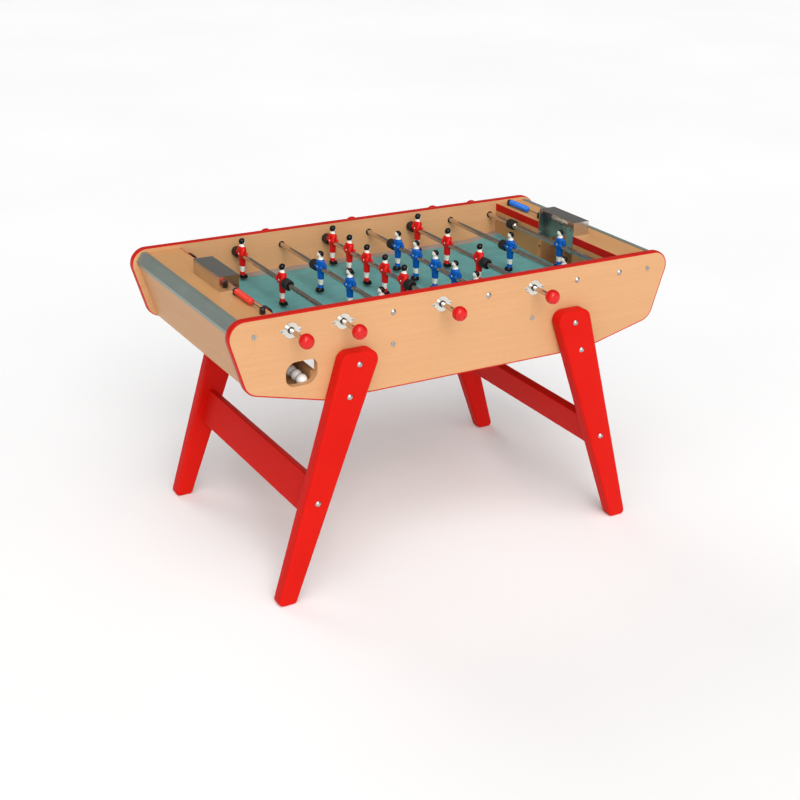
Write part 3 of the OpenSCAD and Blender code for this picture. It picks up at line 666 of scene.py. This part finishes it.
paint_white = uneven_material(
    "paint_white",
    linear(238, 235, 224),
    linear(227, 224, 212),
    smooth=0.2,
    rough=0.3,
    cloud=90.0,
    specular=0.4,
)
paint_black = uneven_material(
    "paint_black", linear(18, 17, 18), linear(9, 8, 9), smooth=0.18, rough=0.28, cloud=90.0, specular=0.25
)


def make_polished():
    """Polished sheet steel: noise drawn out along Y moves the roughness a little, and faint cloudy
    tones change the colour."""
    along, across = 12.0, 500.0
    low, high, smooth, rough = 0.3, 0.7, 0.10, 0.18
    tones = {"Light tone": linear(214, 209, 202), "Dark tone": linear(203, 198, 191)}
    scales = {"Cloud scale": 18.0, "Fine scale": 400.0}
    material, tree, shader, place = start_material("polished_sheet")
    mapping = add(tree, "Mapping")
    mapping.inputs["Scale"].default_value = (across, along, across)
    tree.links.new(place, mapping.inputs["Vector"])
    lines = noise(tree, mapping.outputs["Vector"], 1.0, detail=3.0)
    group = place_group(tree, UNEVEN, place, {**tones, **scales})
    tree.links.new(group.outputs["Color"], shader.inputs["Base Color"])
    tree.links.new(stretch(tree, lines, low, high, smooth, rough), shader.inputs["Roughness"])
    shader.inputs["Metallic"].default_value = 1.0
    return material


polished_sheet = make_polished()

# Cabinet

for panel in ("front_side_panel", "rear_side_panel"):
    dress(panel, beech_along)
# The decks, end panels and goal walls take the darker wood, whose tone is painted shade
for part in ("end_panels", "end_decks", "goal_walls"):
    dress(part, shaded_beech_across)
for part in ("goal_boxes", "ball_troughs", "playfield_board"):
    dress(part, inner_wood)
dress("playfield_cover", field_lino)
dress("side_strips", strip_lino)
dress("goal_hoods", polished_sheet)
dress("corner_trims", trim_metal)
dress("dome_bolts", bolt_steel)
dress("panel_screws", bolt_steel)
dress("inner_bars", bright_chrome)
dress("bush_plates", plate_steel)
dress("rod_bushes", black_plastic)
dress("score_wires", bolt_steel)


def panel_corners():
    """Sharp corners of a side panel in X and Z: the leaning end line meets the rising bottom line."""
    lean, rise = math.tan(END_LEAN), math.tan(BELLY_RISE)
    low = TABLE_H - PANEL_H
    corner_z = (low + rise * (HALF_TOP - HALF_BELLY - lean * TABLE_H)) / (1 - rise * lean)
    corner_x = HALF_TOP - lean * (TABLE_H - corner_z)
    right = [(HALF_BELLY, low), (corner_x, corner_z), (HALF_TOP, TABLE_H)]
    return right + [(-x, z) for x, z in reversed(right)]


def band_ring(front, outer):
    """A crowned edge band: its section is carried round the panel's outline. On the panel's outer
    face a rounded lip stands a little proud of the wood; the inside lies on the panel. outer is
    the sign of the outer face's Y."""
    crown, lip, lip_step, rise, lip_r, ease = 0.8, 4.2, 0.1, 0.5, 2.4, 0.8
    corners = panel_corners()
    outline, normals = rounded_outline(corners, [PANEL_CORNER_R] * len(corners))
    across = np.linspace(-1, 1, 9)[1:-1]
    low, high = lip_r - rise, PANEL_T - ease
    insets = np.concatenate(
        [
            [BAND_T, lip, lip, lip - rise],
            lip_r * (1 - np.sin(QUARTER_BEND)),
            -crown * (1 - across**2),
            ease * (1 - np.cos(QUARTER_BEND)),
            [BAND_T],
        ]
    )
    depths = np.concatenate(
        [
            [0, 0, -lip_step, -rise],
            lip_r * (1 - np.cos(QUARTER_BEND)) - rise,
            low + (high - low) * (across + 1) / 2,
            high + ease * np.sin(QUARTER_BEND),
            [PANEL_T],
        ]
    )
    ys = front + depths if outer < 0 else front + PANEL_T - depths
    return sheet(rings_round(outline, normals, insets, ys), wrap_rows=True)


def deck_band(side, near):
    """A flat band along the inner edge of a deck, on one side of a goal."""
    deck_t = 25.0
    inner_x = box_mm("playfield_board")[1][0]
    top = box_mm("end_decks")[1][2]
    goal_half = box_mm("goal_hoods")[1][1]
    xs = side * np.array([inner_x, inner_x + BAND_T, inner_x + BAND_T, inner_x])
    zs = np.array([top - deck_t, top - deck_t, top, top])
    ends = [near * goal_half, near * (HALF_W - PANEL_T)]
    points = np.stack([np.column_stack([xs, np.full(len(xs), y), zs]) for y in ends])
    return sheet(points, capped=True)


make_piece(
    "edge_banding",
    [band_ring(-HALF_W, -1), band_ring(HALF_W - PANEL_T, 1)]
    + [deck_band(side, near) for side in (-1, 1) for near in (-1, 1)],
    [band_plastic],
    "cabinet",
    "edge_bands",
)

# Legs and stretchers


def make_legs():
    """Four tapered boards with rounded edges, one for each leg node."""
    arris = 8.0
    half_top, half_foot = LEG_TOP_W / 2, LEG_FOOT_W / 2
    right = [
        (LEG_FOOT_X - half_foot, 0),
        (LEG_FOOT_X + half_foot, 0),
        (LEG_TOP_X + half_top, LEG_H),
        (LEG_TOP_X - half_top, LEG_H),
    ]
    for end, x_sign in (("left", -1), ("right", 1)):
        corners = [(x_sign * x, z) for x, z in right]
        radii = LEG_RADII
        if x_sign < 0:
            corners, radii = corners[::-1], radii[::-1]
        for row, front in (("front", -HALF_W - LEG_T), ("rear", HALF_W)):
            make_piece(
                f"{row}_{end}_leg_board",
                [board(corners, radii, front, front + LEG_T, arris)],
                [leg_lacquer],
                "cabinet",
                f"{row}_{end}_leg",
            )


def make_stretchers():
    """Two boards with rounded edges across the table, tilted as the legs are."""
    arris = 4.0
    half_t, half_h = STRETCHER_T / 2, STRETCHER_H / 2
    cos, sin = math.cos(LEG_TILT), math.sin(LEG_TILT)
    flat = [(-half_t, -half_h), (half_t, -half_h), (half_t, half_h), (-half_t, half_h)]
    sheets = []
    for x_sign in (-1, 1):
        corners = [
            (x_sign * (STRETCHER_X + u * cos - v * sin), STRETCHER_Z + u * sin + v * cos) for u, v in flat
        ]
        outline, normals = rounded_outline(corners[::x_sign], [arris] * len(corners))
        sheets.append(sheet(rings_round(outline, normals, [0, 0], [-HALF_W, HALF_W]), capped=True))
    make_piece("stretcher_boards", sheets, [leg_lacquer], "cabinet", "stretchers")


make_legs()
make_stretchers()

# Rods


def sleeve_profile(bore, outer, low, high, ease):
    """Closed section of a tube or collar along Y, from its bore to its outside with eased edges."""
    return [
        (bore, low),
        (outer - ease, low),
        (outer, low + ease),
        (outer, high - ease),
        (outer - ease, high),
        (bore, high),
    ]


def knob_profile(centre, out):
    """A round knob on a neck: a sphere behind its widest part, and in front a flatter quarter
    whose radius falls as the cosine to a power below one; out is the way the knob points."""
    neck_r, neck_l, neck_ease, front, flat_power, steps = 10.0, 25.0, 0.8, 19.0, 0.62, 16
    back_angle = np.linspace(-math.acos(neck_r / KNOB_R), 0, steps)
    front_angle = np.linspace(0, QUARTER, steps)[1:]
    front_share = np.clip(np.cos(front_angle), 0, 1) ** flat_power
    radius = KNOB_R * np.concatenate([np.cos(back_angle), front_share])
    along = np.concatenate([KNOB_R * np.sin(back_angle), front * np.sin(front_angle)])
    radius = np.concatenate([[TUBE_R, neck_r - neck_ease, neck_r], radius])
    along = np.concatenate([[-neck_l, -neck_l, neck_ease - neck_l], along])
    return np.column_stack([radius, centre + out * along])


def bumper_profile(low):
    """Closed section of a rubber bumper: rounded rims, and a shallow dish at each end."""
    rim, dish, dish_r, dish_slope, dish_edge, clearance = 2.5, 4.0, 11.5, 1.5, 0.6, 0.1
    edge_r = BUMPER_R - rim + rim * np.sin(QUARTER_BEND)
    edge_y = rim - rim * np.cos(QUARTER_BEND)
    radius = np.concatenate([[TUBE_R + clearance, dish_r - dish_slope, dish_r], edge_r])
    along = np.concatenate([[dish, dish, dish_edge], edge_y])
    return np.concatenate(
        [
            np.column_stack([radius, low + along]),
            np.column_stack([radius[::-1], low + BUMPER_L - along[::-1]]),
        ]
    )


# Figures: a man stands on the rod's axis, +X is the way they face

SHIRT, WHITE, BLACK = range(3)
MEN_ON = {"keeper": 1, "defence": 2, "attack": 3, "midfield": 5}


def swelling(y, z, out, half_width, drop, half_height):
    """A soft bump on the front of the head:
    out * exp(-(y / half_width)^2 - ((z + drop) / half_height)^2)."""
    return out * np.exp(-((y / half_width) ** 2) - ((z + drop) / half_height) ** 2)


def head_and_hair():
    """Head: a ball with a bump for the nose and a chin. Hair: a cap of directions round a line
    that points up and back, a little larger than the head, which runs down to the nape behind and
    closes on the head along the hairline."""
    centre = np.array([0.6, 0, 44.6])
    radii = np.array([10.2, 9.8, 10.0])
    head = ball(centre, radii, rows=28, sides=40, finish=WHITE)
    offset = head["points"] - centre
    forward = np.clip(offset[..., :1] / radii[0], 0, 1)
    y, z = offset[..., 1:2], offset[..., 2:3]
    nose = swelling(y, z, out=1.8, half_width=1.5, drop=0.8, half_height=2.2)
    chin = swelling(y, z, out=1.0, half_width=3.0, drop=6.5, half_height=2.0)
    head["points"] = head["points"] + forward * (nose + chin) * np.array([1.0, 0, 0])
    hair_thick, hair_sunk, edge_power = 0.07, 0.02, 6
    back_up = np.array([-0.62, 0, 0.785])
    across = np.array([0, 1.0, 0])
    down_back = np.cross(back_up, across)
    turn = np.linspace(0, FULL_TURN, 40, endpoint=False)[None, :]
    middle, lower_behind, lower_beside = (math.radians(a) for a in (107, 17, 12))
    edge = middle + lower_behind * np.sin(turn) + lower_beside * np.cos(turn) ** 2
    share = np.linspace(0, 1, 16)[:, None]
    polar = share * edge
    direction = (
        np.cos(polar)[..., None] * back_up
        + (np.sin(polar) * np.cos(turn))[..., None] * across
        + (np.sin(polar) * np.sin(turn))[..., None] * down_back
    )
    near_edge = share**edge_power
    size = 1.0 + hair_thick * (1 - near_edge) - hair_sunk * near_edge
    hair = sheet(centre + radii * direction * size[..., None], BLACK)
    eye_place, eye_radii = np.array([9.0, 3.4, 2.0]), (0.9, 1.3, 0.9)
    eyes = [
        ball(centre + eye_place * [1, s, 1], eye_radii, rows=8, sides=10, finish=BLACK) for s in (-1, 1)
    ]
    return [head, hair] + eyes


def torso_and_arms():
    """Shirt and shorts as one loft, two bent arms with their fists forward, and a round hip on
    the rod with a pin through it."""
    shirt = loft(
        [
            (29.2, -0.2, 6.4, 8.6, 2.0),
            (27.8, -0.2, 9.0, 12.8, 2.0),
            (24.5, 0.0, 11.4, 15.8, 2.2),
            (18.0, 0.2, 12.4, 16.2, 2.3),
            (8.0, 0.2, 11.8, 14.2, 2.3),
            (0.0, 0.0, 11.6, 13.0, 2.3),
            (-10.0, 0.0, 10.4, 12.4, 2.3),
            (-18.0, -0.2, 9.6, 12.0, 2.4),
            (-27.0, -0.3, 8.9, 11.8, 2.5),
            (-34.2, -0.3, 8.6, 11.6, 2.5),
            (-35.2, -0.3, 7.9, 10.9, 2.5),
        ],
        rows=60,
        finish=SHIRT,
    )
    arms = [
        limb(
            [
                (1.0, s * 8.0, 25.6),
                (-1.6, s * 13.4, 20.0),
                (-6.4, s * 14.6, 12.0),
                (-8.2, s * 14.8, 5.0),
                (0.0, s * 14.2, 2.0),
                (7.4, s * 13.4, 3.6),
                (13.2, s * 12.2, 4.6),
            ],
            [6.2, 6.2, 5.8, 5.8, 6.0, 6.2, 6.4],
            rows=48,
            finish=SHIRT,
        )
        for s in (-1, 1)
    ]
    hip_r, hip_half, ease = 12.3, 13.5, 1.6
    corner = 0.3 * ease
    hip = turned(
        [
            (TUBE_R, -hip_half),
            (hip_r - ease, -hip_half),
            (hip_r - corner, corner - hip_half),
            (hip_r, ease - hip_half),
            (hip_r, hip_half - ease),
            (hip_r - corner, hip_half - corner),
            (hip_r - ease, hip_half),
            (TUBE_R, hip_half),
        ],
        x=0,
        z=0,
        finish=SHIRT,
    )
    pin_x, pin_z, pin_radii = 12.0, 6.0, (1.3, 2.4, 2.4)
    pins = [ball((s * pin_x, 0, pin_z), pin_radii, rows=10, sides=16, finish=WHITE) for s in (-1, 1)]
    return [shirt, hip] + arms + pins


def neck_and_legs(foot):
    """White neck and collar, white legs, socks that run down to the heel and black boots, as lofts;
    a crease parts the two legs. foot is the height of the soles under the rod."""
    neck = loft(
        [(25.0, 0, 7.8, 9.0, 2), (30.0, 0, 7.4, 8.0, 2), (33.5, 0, 6.8, 7.2, 2), (38.5, 0, 6.0, 6.2, 2)],
        rows=14,
        sides=28,
        finish=WHITE,
    )
    turn = np.linspace(0, FULL_TURN, 40, endpoint=False)[:, None]
    tube = np.linspace(0, FULL_TURN, 12, endpoint=False)[None]
    ring_r, mean_r, middle, half_depth, half_width, height, dip = 1.7, 8.0, 0.2, 7.6, 8.8, 28.6, 2.0
    reach = 1 + (ring_r / mean_r) * np.cos(tube)
    collar_points = [
        middle + half_depth * np.cos(turn) * reach,
        half_width * np.sin(turn) * reach,
        height - dip * np.cos(turn) + ring_r * np.sin(tube),
    ]
    collar = sheet(np.stack(collar_points, axis=-1), WHITE, wrap_rows=True)
    legs = loft(
        [
            (-33.0, -0.4, 7.8, 10.6, 2.3),
            (-40.0, -0.5, 7.6, 10.2, 2.3),
            (-48.0, -0.7, 7.0, 9.4, 2.3),
            (-56.0, -0.9, 6.6, 8.8, 2.3),
        ],
        rows=18,
        crease=0.16,
        finish=WHITE,
    )
    socks = loft(
        [
            (-53.4, -0.9, 6.8, 9.0, 2.3),
            (-54.4, -0.9, 7.6, 9.8, 2.3),
            (-57.6, -0.9, 7.5, 9.7, 2.3),
            (-61.0, -0.6, 7.4, 9.4, 2.3),
            (foot + 14.0, 0.2, 8.4, 9.8, 2.3),
            (foot + 10.0, 0.6, 9.4, 10.4, 2.3),
        ],
        rows=30,
        crease=0.12,
        finish=SHIRT,
    )
    boots = loft(
        [
            (foot + 13.4, 1.0, 6.0, 8.6, 2.2),
            (foot + 12.0, 1.4, 10.2, 11.2, 2.3),
            (foot + 8.4, 2.2, 12.2, 12.4, 2.4),
            (foot + 4.6, 2.8, 13.2, 12.9, 2.5),
            (foot + 1.6, 3.0, 13.4, 12.9, 2.5),
            (foot, 3.0, 12.4, 12.0, 2.5),
        ],
        rows=30,
        crease=0.08,
        finish=BLACK,
    )
    return [neck, collar, legs, socks, boots]


def make_figures(rod, x, z, faces_right):
    """The painted men of one rod, each a copy of one figure at the places of the CAD men."""
    sole_lift = 2.0
    low, high = box_mm(rod + "_men")
    foot = low[2] - z + sole_lift
    figure = head_and_hair() + torso_and_arms() + neck_and_legs(foot)
    count = MEN_ON[rod.split("_")[1]]
    reach = (high[1] - low[1] - MAN_W) / 2
    places = (low[1] + high[1]) / 2 + reach * (np.linspace(-1, 1, count) if count > 1 else np.zeros(1))
    sheets = [s for y in places for s in moved(figure, (x, y, z), half_turn=not faces_right)]
    team = "red" if rod.startswith("red") else "blue"
    make_piece(
        rod + "_figures",
        sheets,
        [paint_red if team == "red" else paint_blue, paint_white, paint_black],
        rod + "_turner",
        rod + "_men",
    )


def make_rod(rod):
    """Tube with its collars, knob, bumpers and men of one rod."""
    tube_ease, collar_ease, collar_wall, collar_l, gap = 0.4, 0.8, 3.5, 11.0, 0.4
    low, high = box_mm(rod + "_tube")
    x, z = (low[0] + high[0]) / 2, (low[2] + high[2]) / 2
    red = rod.startswith("red")
    out = -1 if red else 1
    bumper_low, bumper_high = box_mm(rod + "_bumpers")
    sleeves = [sleeve_profile(TUBE_R - TUBE_WALL, TUBE_R, low[1], high[1], tube_ease)]
    if "keeper" in rod:
        front_start = bumper_low[1] + BUMPER_L + gap
        rear_start = bumper_high[1] - BUMPER_L - gap - collar_l
        sleeves += [
            sleeve_profile(TUBE_R, TUBE_R + collar_wall, start, start + collar_l, collar_ease)
            for start in (front_start, rear_start)
        ]
    sheets = [turned(profile, x, z, wrap_rows=True) for profile in sleeves]
    make_piece(rod + "_chrome_tube", sheets, [bright_chrome], rod + "_turner", rod + "_tube")
    knob_centre = low[1] if red else high[1]
    make_piece(
        rod + "_round_knob",
        [turned(knob_profile(knob_centre, out), x, z, sides=56)],
        [knob_plastic],
        rod + "_turner",
        rod + "_knob",
    )
    make_piece(
        rod + "_rubber_bumpers",
        [
            turned(bumper_profile(y), x, z, wrap_rows=True)
            for y in (bumper_low[1], bumper_high[1] - BUMPER_L)
        ],
        [rubber],
        rod + "_slider",
        rod + "_bumpers",
    )
    make_figures(rod, x, z, red)


for body_name in list(frame["bodies"]):
    if body_name.endswith("_turner"):
        make_rod(body_name.removesuffix("_turner"))

# Score posts, beads and balls


def make_posts():
    """Posts of both counters: a round stem whose top closes as half an ellipse, turned round the
    upright line through each post. The right counter is the left one turned half round."""
    dome, dome_share, base_ease, bead_gap = 6.5, 0.98, 0.6, 0.3
    low, high = box_mm("score_posts")
    radius = POST_D / 2
    bend = np.linspace(0, dome_share * QUARTER, 10)[1:]
    stem = [(radius - base_ease, low[2]), (radius, low[2] + base_ease), (radius, high[2] - dome)]
    top = np.column_stack([radius * np.cos(bend), high[2] - dome + dome * np.sin(bend)])
    profile = np.concatenate([stem, top])
    angle = np.linspace(0, FULL_TURN, 40, endpoint=False)
    ring = np.column_stack([np.cos(angle), np.sin(angle), np.zeros(len(angle))])
    post = profile[:, :1, None] * ring + profile[:, 1:, None] * np.array([0, 0, 1.0])
    inner_y = -box_mm("red_score_beads")[1][1] - radius - bead_gap
    outer_y = high[1] - radius
    shifts = [(s * (high[0] - radius), s * y, 0) for s in (-1, 1) for y in (inner_y, outer_y)]
    sheets = [sheet(post + np.array(shift), capped=True) for shift in shifts]
    make_piece("domed_score_posts", sheets, [black_plastic], "cabinet", "score_posts")


make_posts()


def make_beads(team, finish):
    """The beads of one counter: each is turned from a profile whose radius falls towards both rims
    as a quarter of a circle, and the row fills the CAD row's length."""
    count, bore, rim = 10, 2.2, 4.8
    cad_node = team + "_score_beads"
    low, high = box_mm(cad_node)
    x, z = (low[0] + high[0]) / 2, (low[2] + high[2]) / 2
    outer = (high[2] - low[2]) / 2
    pitch = (high[1] - low[1]) / count
    edge_r = outer - rim + rim * np.sin(QUARTER_BEND)
    edge_y = rim * (1 - np.cos(QUARTER_BEND))
    radius = np.concatenate([[bore], edge_r, edge_r[::-1], [bore]])
    along = np.concatenate([[0], edge_y, pitch - edge_y[::-1], [pitch]])
    sheets = [
        turned(np.column_stack([radius, low[1] + i * pitch + along]), x, z, wrap_rows=True)
        for i in range(count)
    ]
    make_piece(team + "_round_beads", sheets, [finish], team + "_beads", cad_node)


make_beads("red", bead_red)
make_beads("blue", bead_blue)


def make_balls():
    """Three balls in a row along the trough, spaced over the CAD row's length."""
    count = 3
    low, high = box_mm("balls")
    middle = (low[0] + high[0]) / 2
    steps = np.linspace(0, 1, count)
    ys = low[1] + BALL_R + steps * (high[1] - low[1] - 2 * BALL_R)
    zs = low[2] + BALL_R + steps * (high[2] - low[2] - 2 * BALL_R)
    sheets = [ball((middle, y, z), (BALL_R,) * 3, rows=32, sides=48) for y, z in zip(ys, zs)]
    make_piece("playing_balls", sheets, [white_ball], "ball_row", "balls")


make_balls()

# Floor, light and camera


def make_floor():
    """A wide pale floor under the feet."""
    half = 30.0
    mesh = bpy.data.meshes.new("floor")
    corners = [(-half, -half, 0), (half, -half, 0), (half, half, 0), (-half, half, 0)]
    mesh.from_pydata(corners, [], [(0, 1, 2, 3)])
    pale = uneven_material(
        "pale_floor",
        linear(246, 246, 246),
        linear(243, 243, 243),
        smooth=0.7,
        rough=0.8,
        cloud=0.5,
    )
    mesh.materials.append(pale)
    floor = bpy.data.objects.new("floor", mesh)
    bpy.context.scene.collection.objects.link(floor)


def looking(place, away):
    """Matrix of an object at place whose local +Z points away and whose +X is level."""
    back = np.asarray(away, float) / np.linalg.norm(away)
    right = np.cross([0, 0, 1.0], back)
    right /= np.linalg.norm(right)
    up = np.cross(back, right)
    matrix = np.eye(4)
    matrix[:3, :4] = np.column_stack([right, up, back, place])
    return matrix.tolist()


def make_sun(name, energy, from_side, in_gloss):
    """A soft sun that shines from the given direction; in_gloss says if shiny surfaces mirror it."""
    softness, height = math.radians(30), 4.0
    light = bpy.data.lights.new(name, "SUN")
    light.energy = energy
    light.angle = softness
    sun = bpy.data.objects.new(name, light)
    bpy.context.scene.collection.objects.link(sun)
    sun.matrix_world = Matrix(looking((0, 0, height), from_side))
    sun.visible_glossy = in_gloss


def make_camera():
    """The camera at the photograph's angle: azimuth and elevation give its back direction, and a
    small roll turns it about that direction."""
    azimuth, elevation, roll = (math.radians(a) for a in (-30.398, 23.230, 1.176))
    place = np.array([-2.1360, -3.6530, 2.1933])
    lens, sensor = 63.33, 36.0
    level = math.cos(elevation)
    back = np.array([math.sin(azimuth) * level, -math.cos(azimuth) * level, math.sin(elevation)])
    upright = Matrix(looking(place, back))
    camera_data = bpy.data.cameras.new("camera")
    camera_data.lens = lens
    camera_data.sensor_width = sensor
    camera = bpy.data.objects.new("camera", camera_data)
    bpy.context.scene.collection.objects.link(camera)
    camera.matrix_world = upright @ Matrix.Rotation(roll, 4, "Z")
    bpy.context.scene.camera = camera


def glow(tree, towards, power, gain, base):
    """Strength of a soft light: base + gain * c^power, where c is the cosine of the angle to the
    light, or 0 behind it. base is a number or the strength so far."""
    along = add(tree, "VectorMath", operation="DOT_PRODUCT")
    along.inputs[1].default_value = Vector(towards).normalized()
    ahead = add(tree, "Math", operation="MAXIMUM")
    ahead.inputs[1].default_value = 0.0
    raised = add(tree, "Math", operation="POWER")
    raised.inputs[1].default_value = power
    strength = add(tree, "Math", operation="MULTIPLY_ADD")
    strength.inputs[1].default_value = gain
    tree.links.new(add(tree, "TexCoord").outputs["Generated"], along.inputs[0])
    tree.links.new(along.outputs["Value"], ahead.inputs[0])
    tree.links.new(ahead.outputs[0], raised.inputs[0])
    tree.links.new(raised.outputs[0], strength.inputs[0])
    feed(tree, strength.inputs[2], base)
    return strength.outputs[0]


def make_world():
    """A dim studio with a wide soft light in front and a smaller one above, in front of a plain
    pale backdrop."""
    dim, pale = 0.18, 0.93
    world = bpy.data.worlds.new("studio")
    world.use_nodes = True
    tree = world.node_tree
    front = glow(tree, towards=(-0.30, -0.80, 0.52), power=2.0, gain=1.6, base=dim)
    above = glow(tree, towards=(-0.15, -0.35, 0.92), power=40.0, gain=3.5, base=front)
    seen = add(tree, "Mix")
    seen.inputs["B"].default_value = pale
    tree.links.new(add(tree, "LightPath").outputs["Is Camera Ray"], seen.inputs["Factor"])
    tree.links.new(above, seen.inputs["A"])
    tree.links.new(seen.outputs["Result"], tree.nodes["Background"].inputs["Strength"])
    tree.nodes["Background"].inputs["Color"].default_value = (1.0, 1.0, 1.0, 1.0)
    bpy.context.scene.world = world
    bpy.context.scene.view_settings.view_transform = "Standard"


make_floor()
make_sun("front_sun", energy=1.2, from_side=(-0.25, -0.80, 0.55), in_gloss=True)
make_sun("rear_fill", energy=0.7, from_side=(-0.10, 0.80, 0.56), in_gloss=False)
make_camera()
make_world()
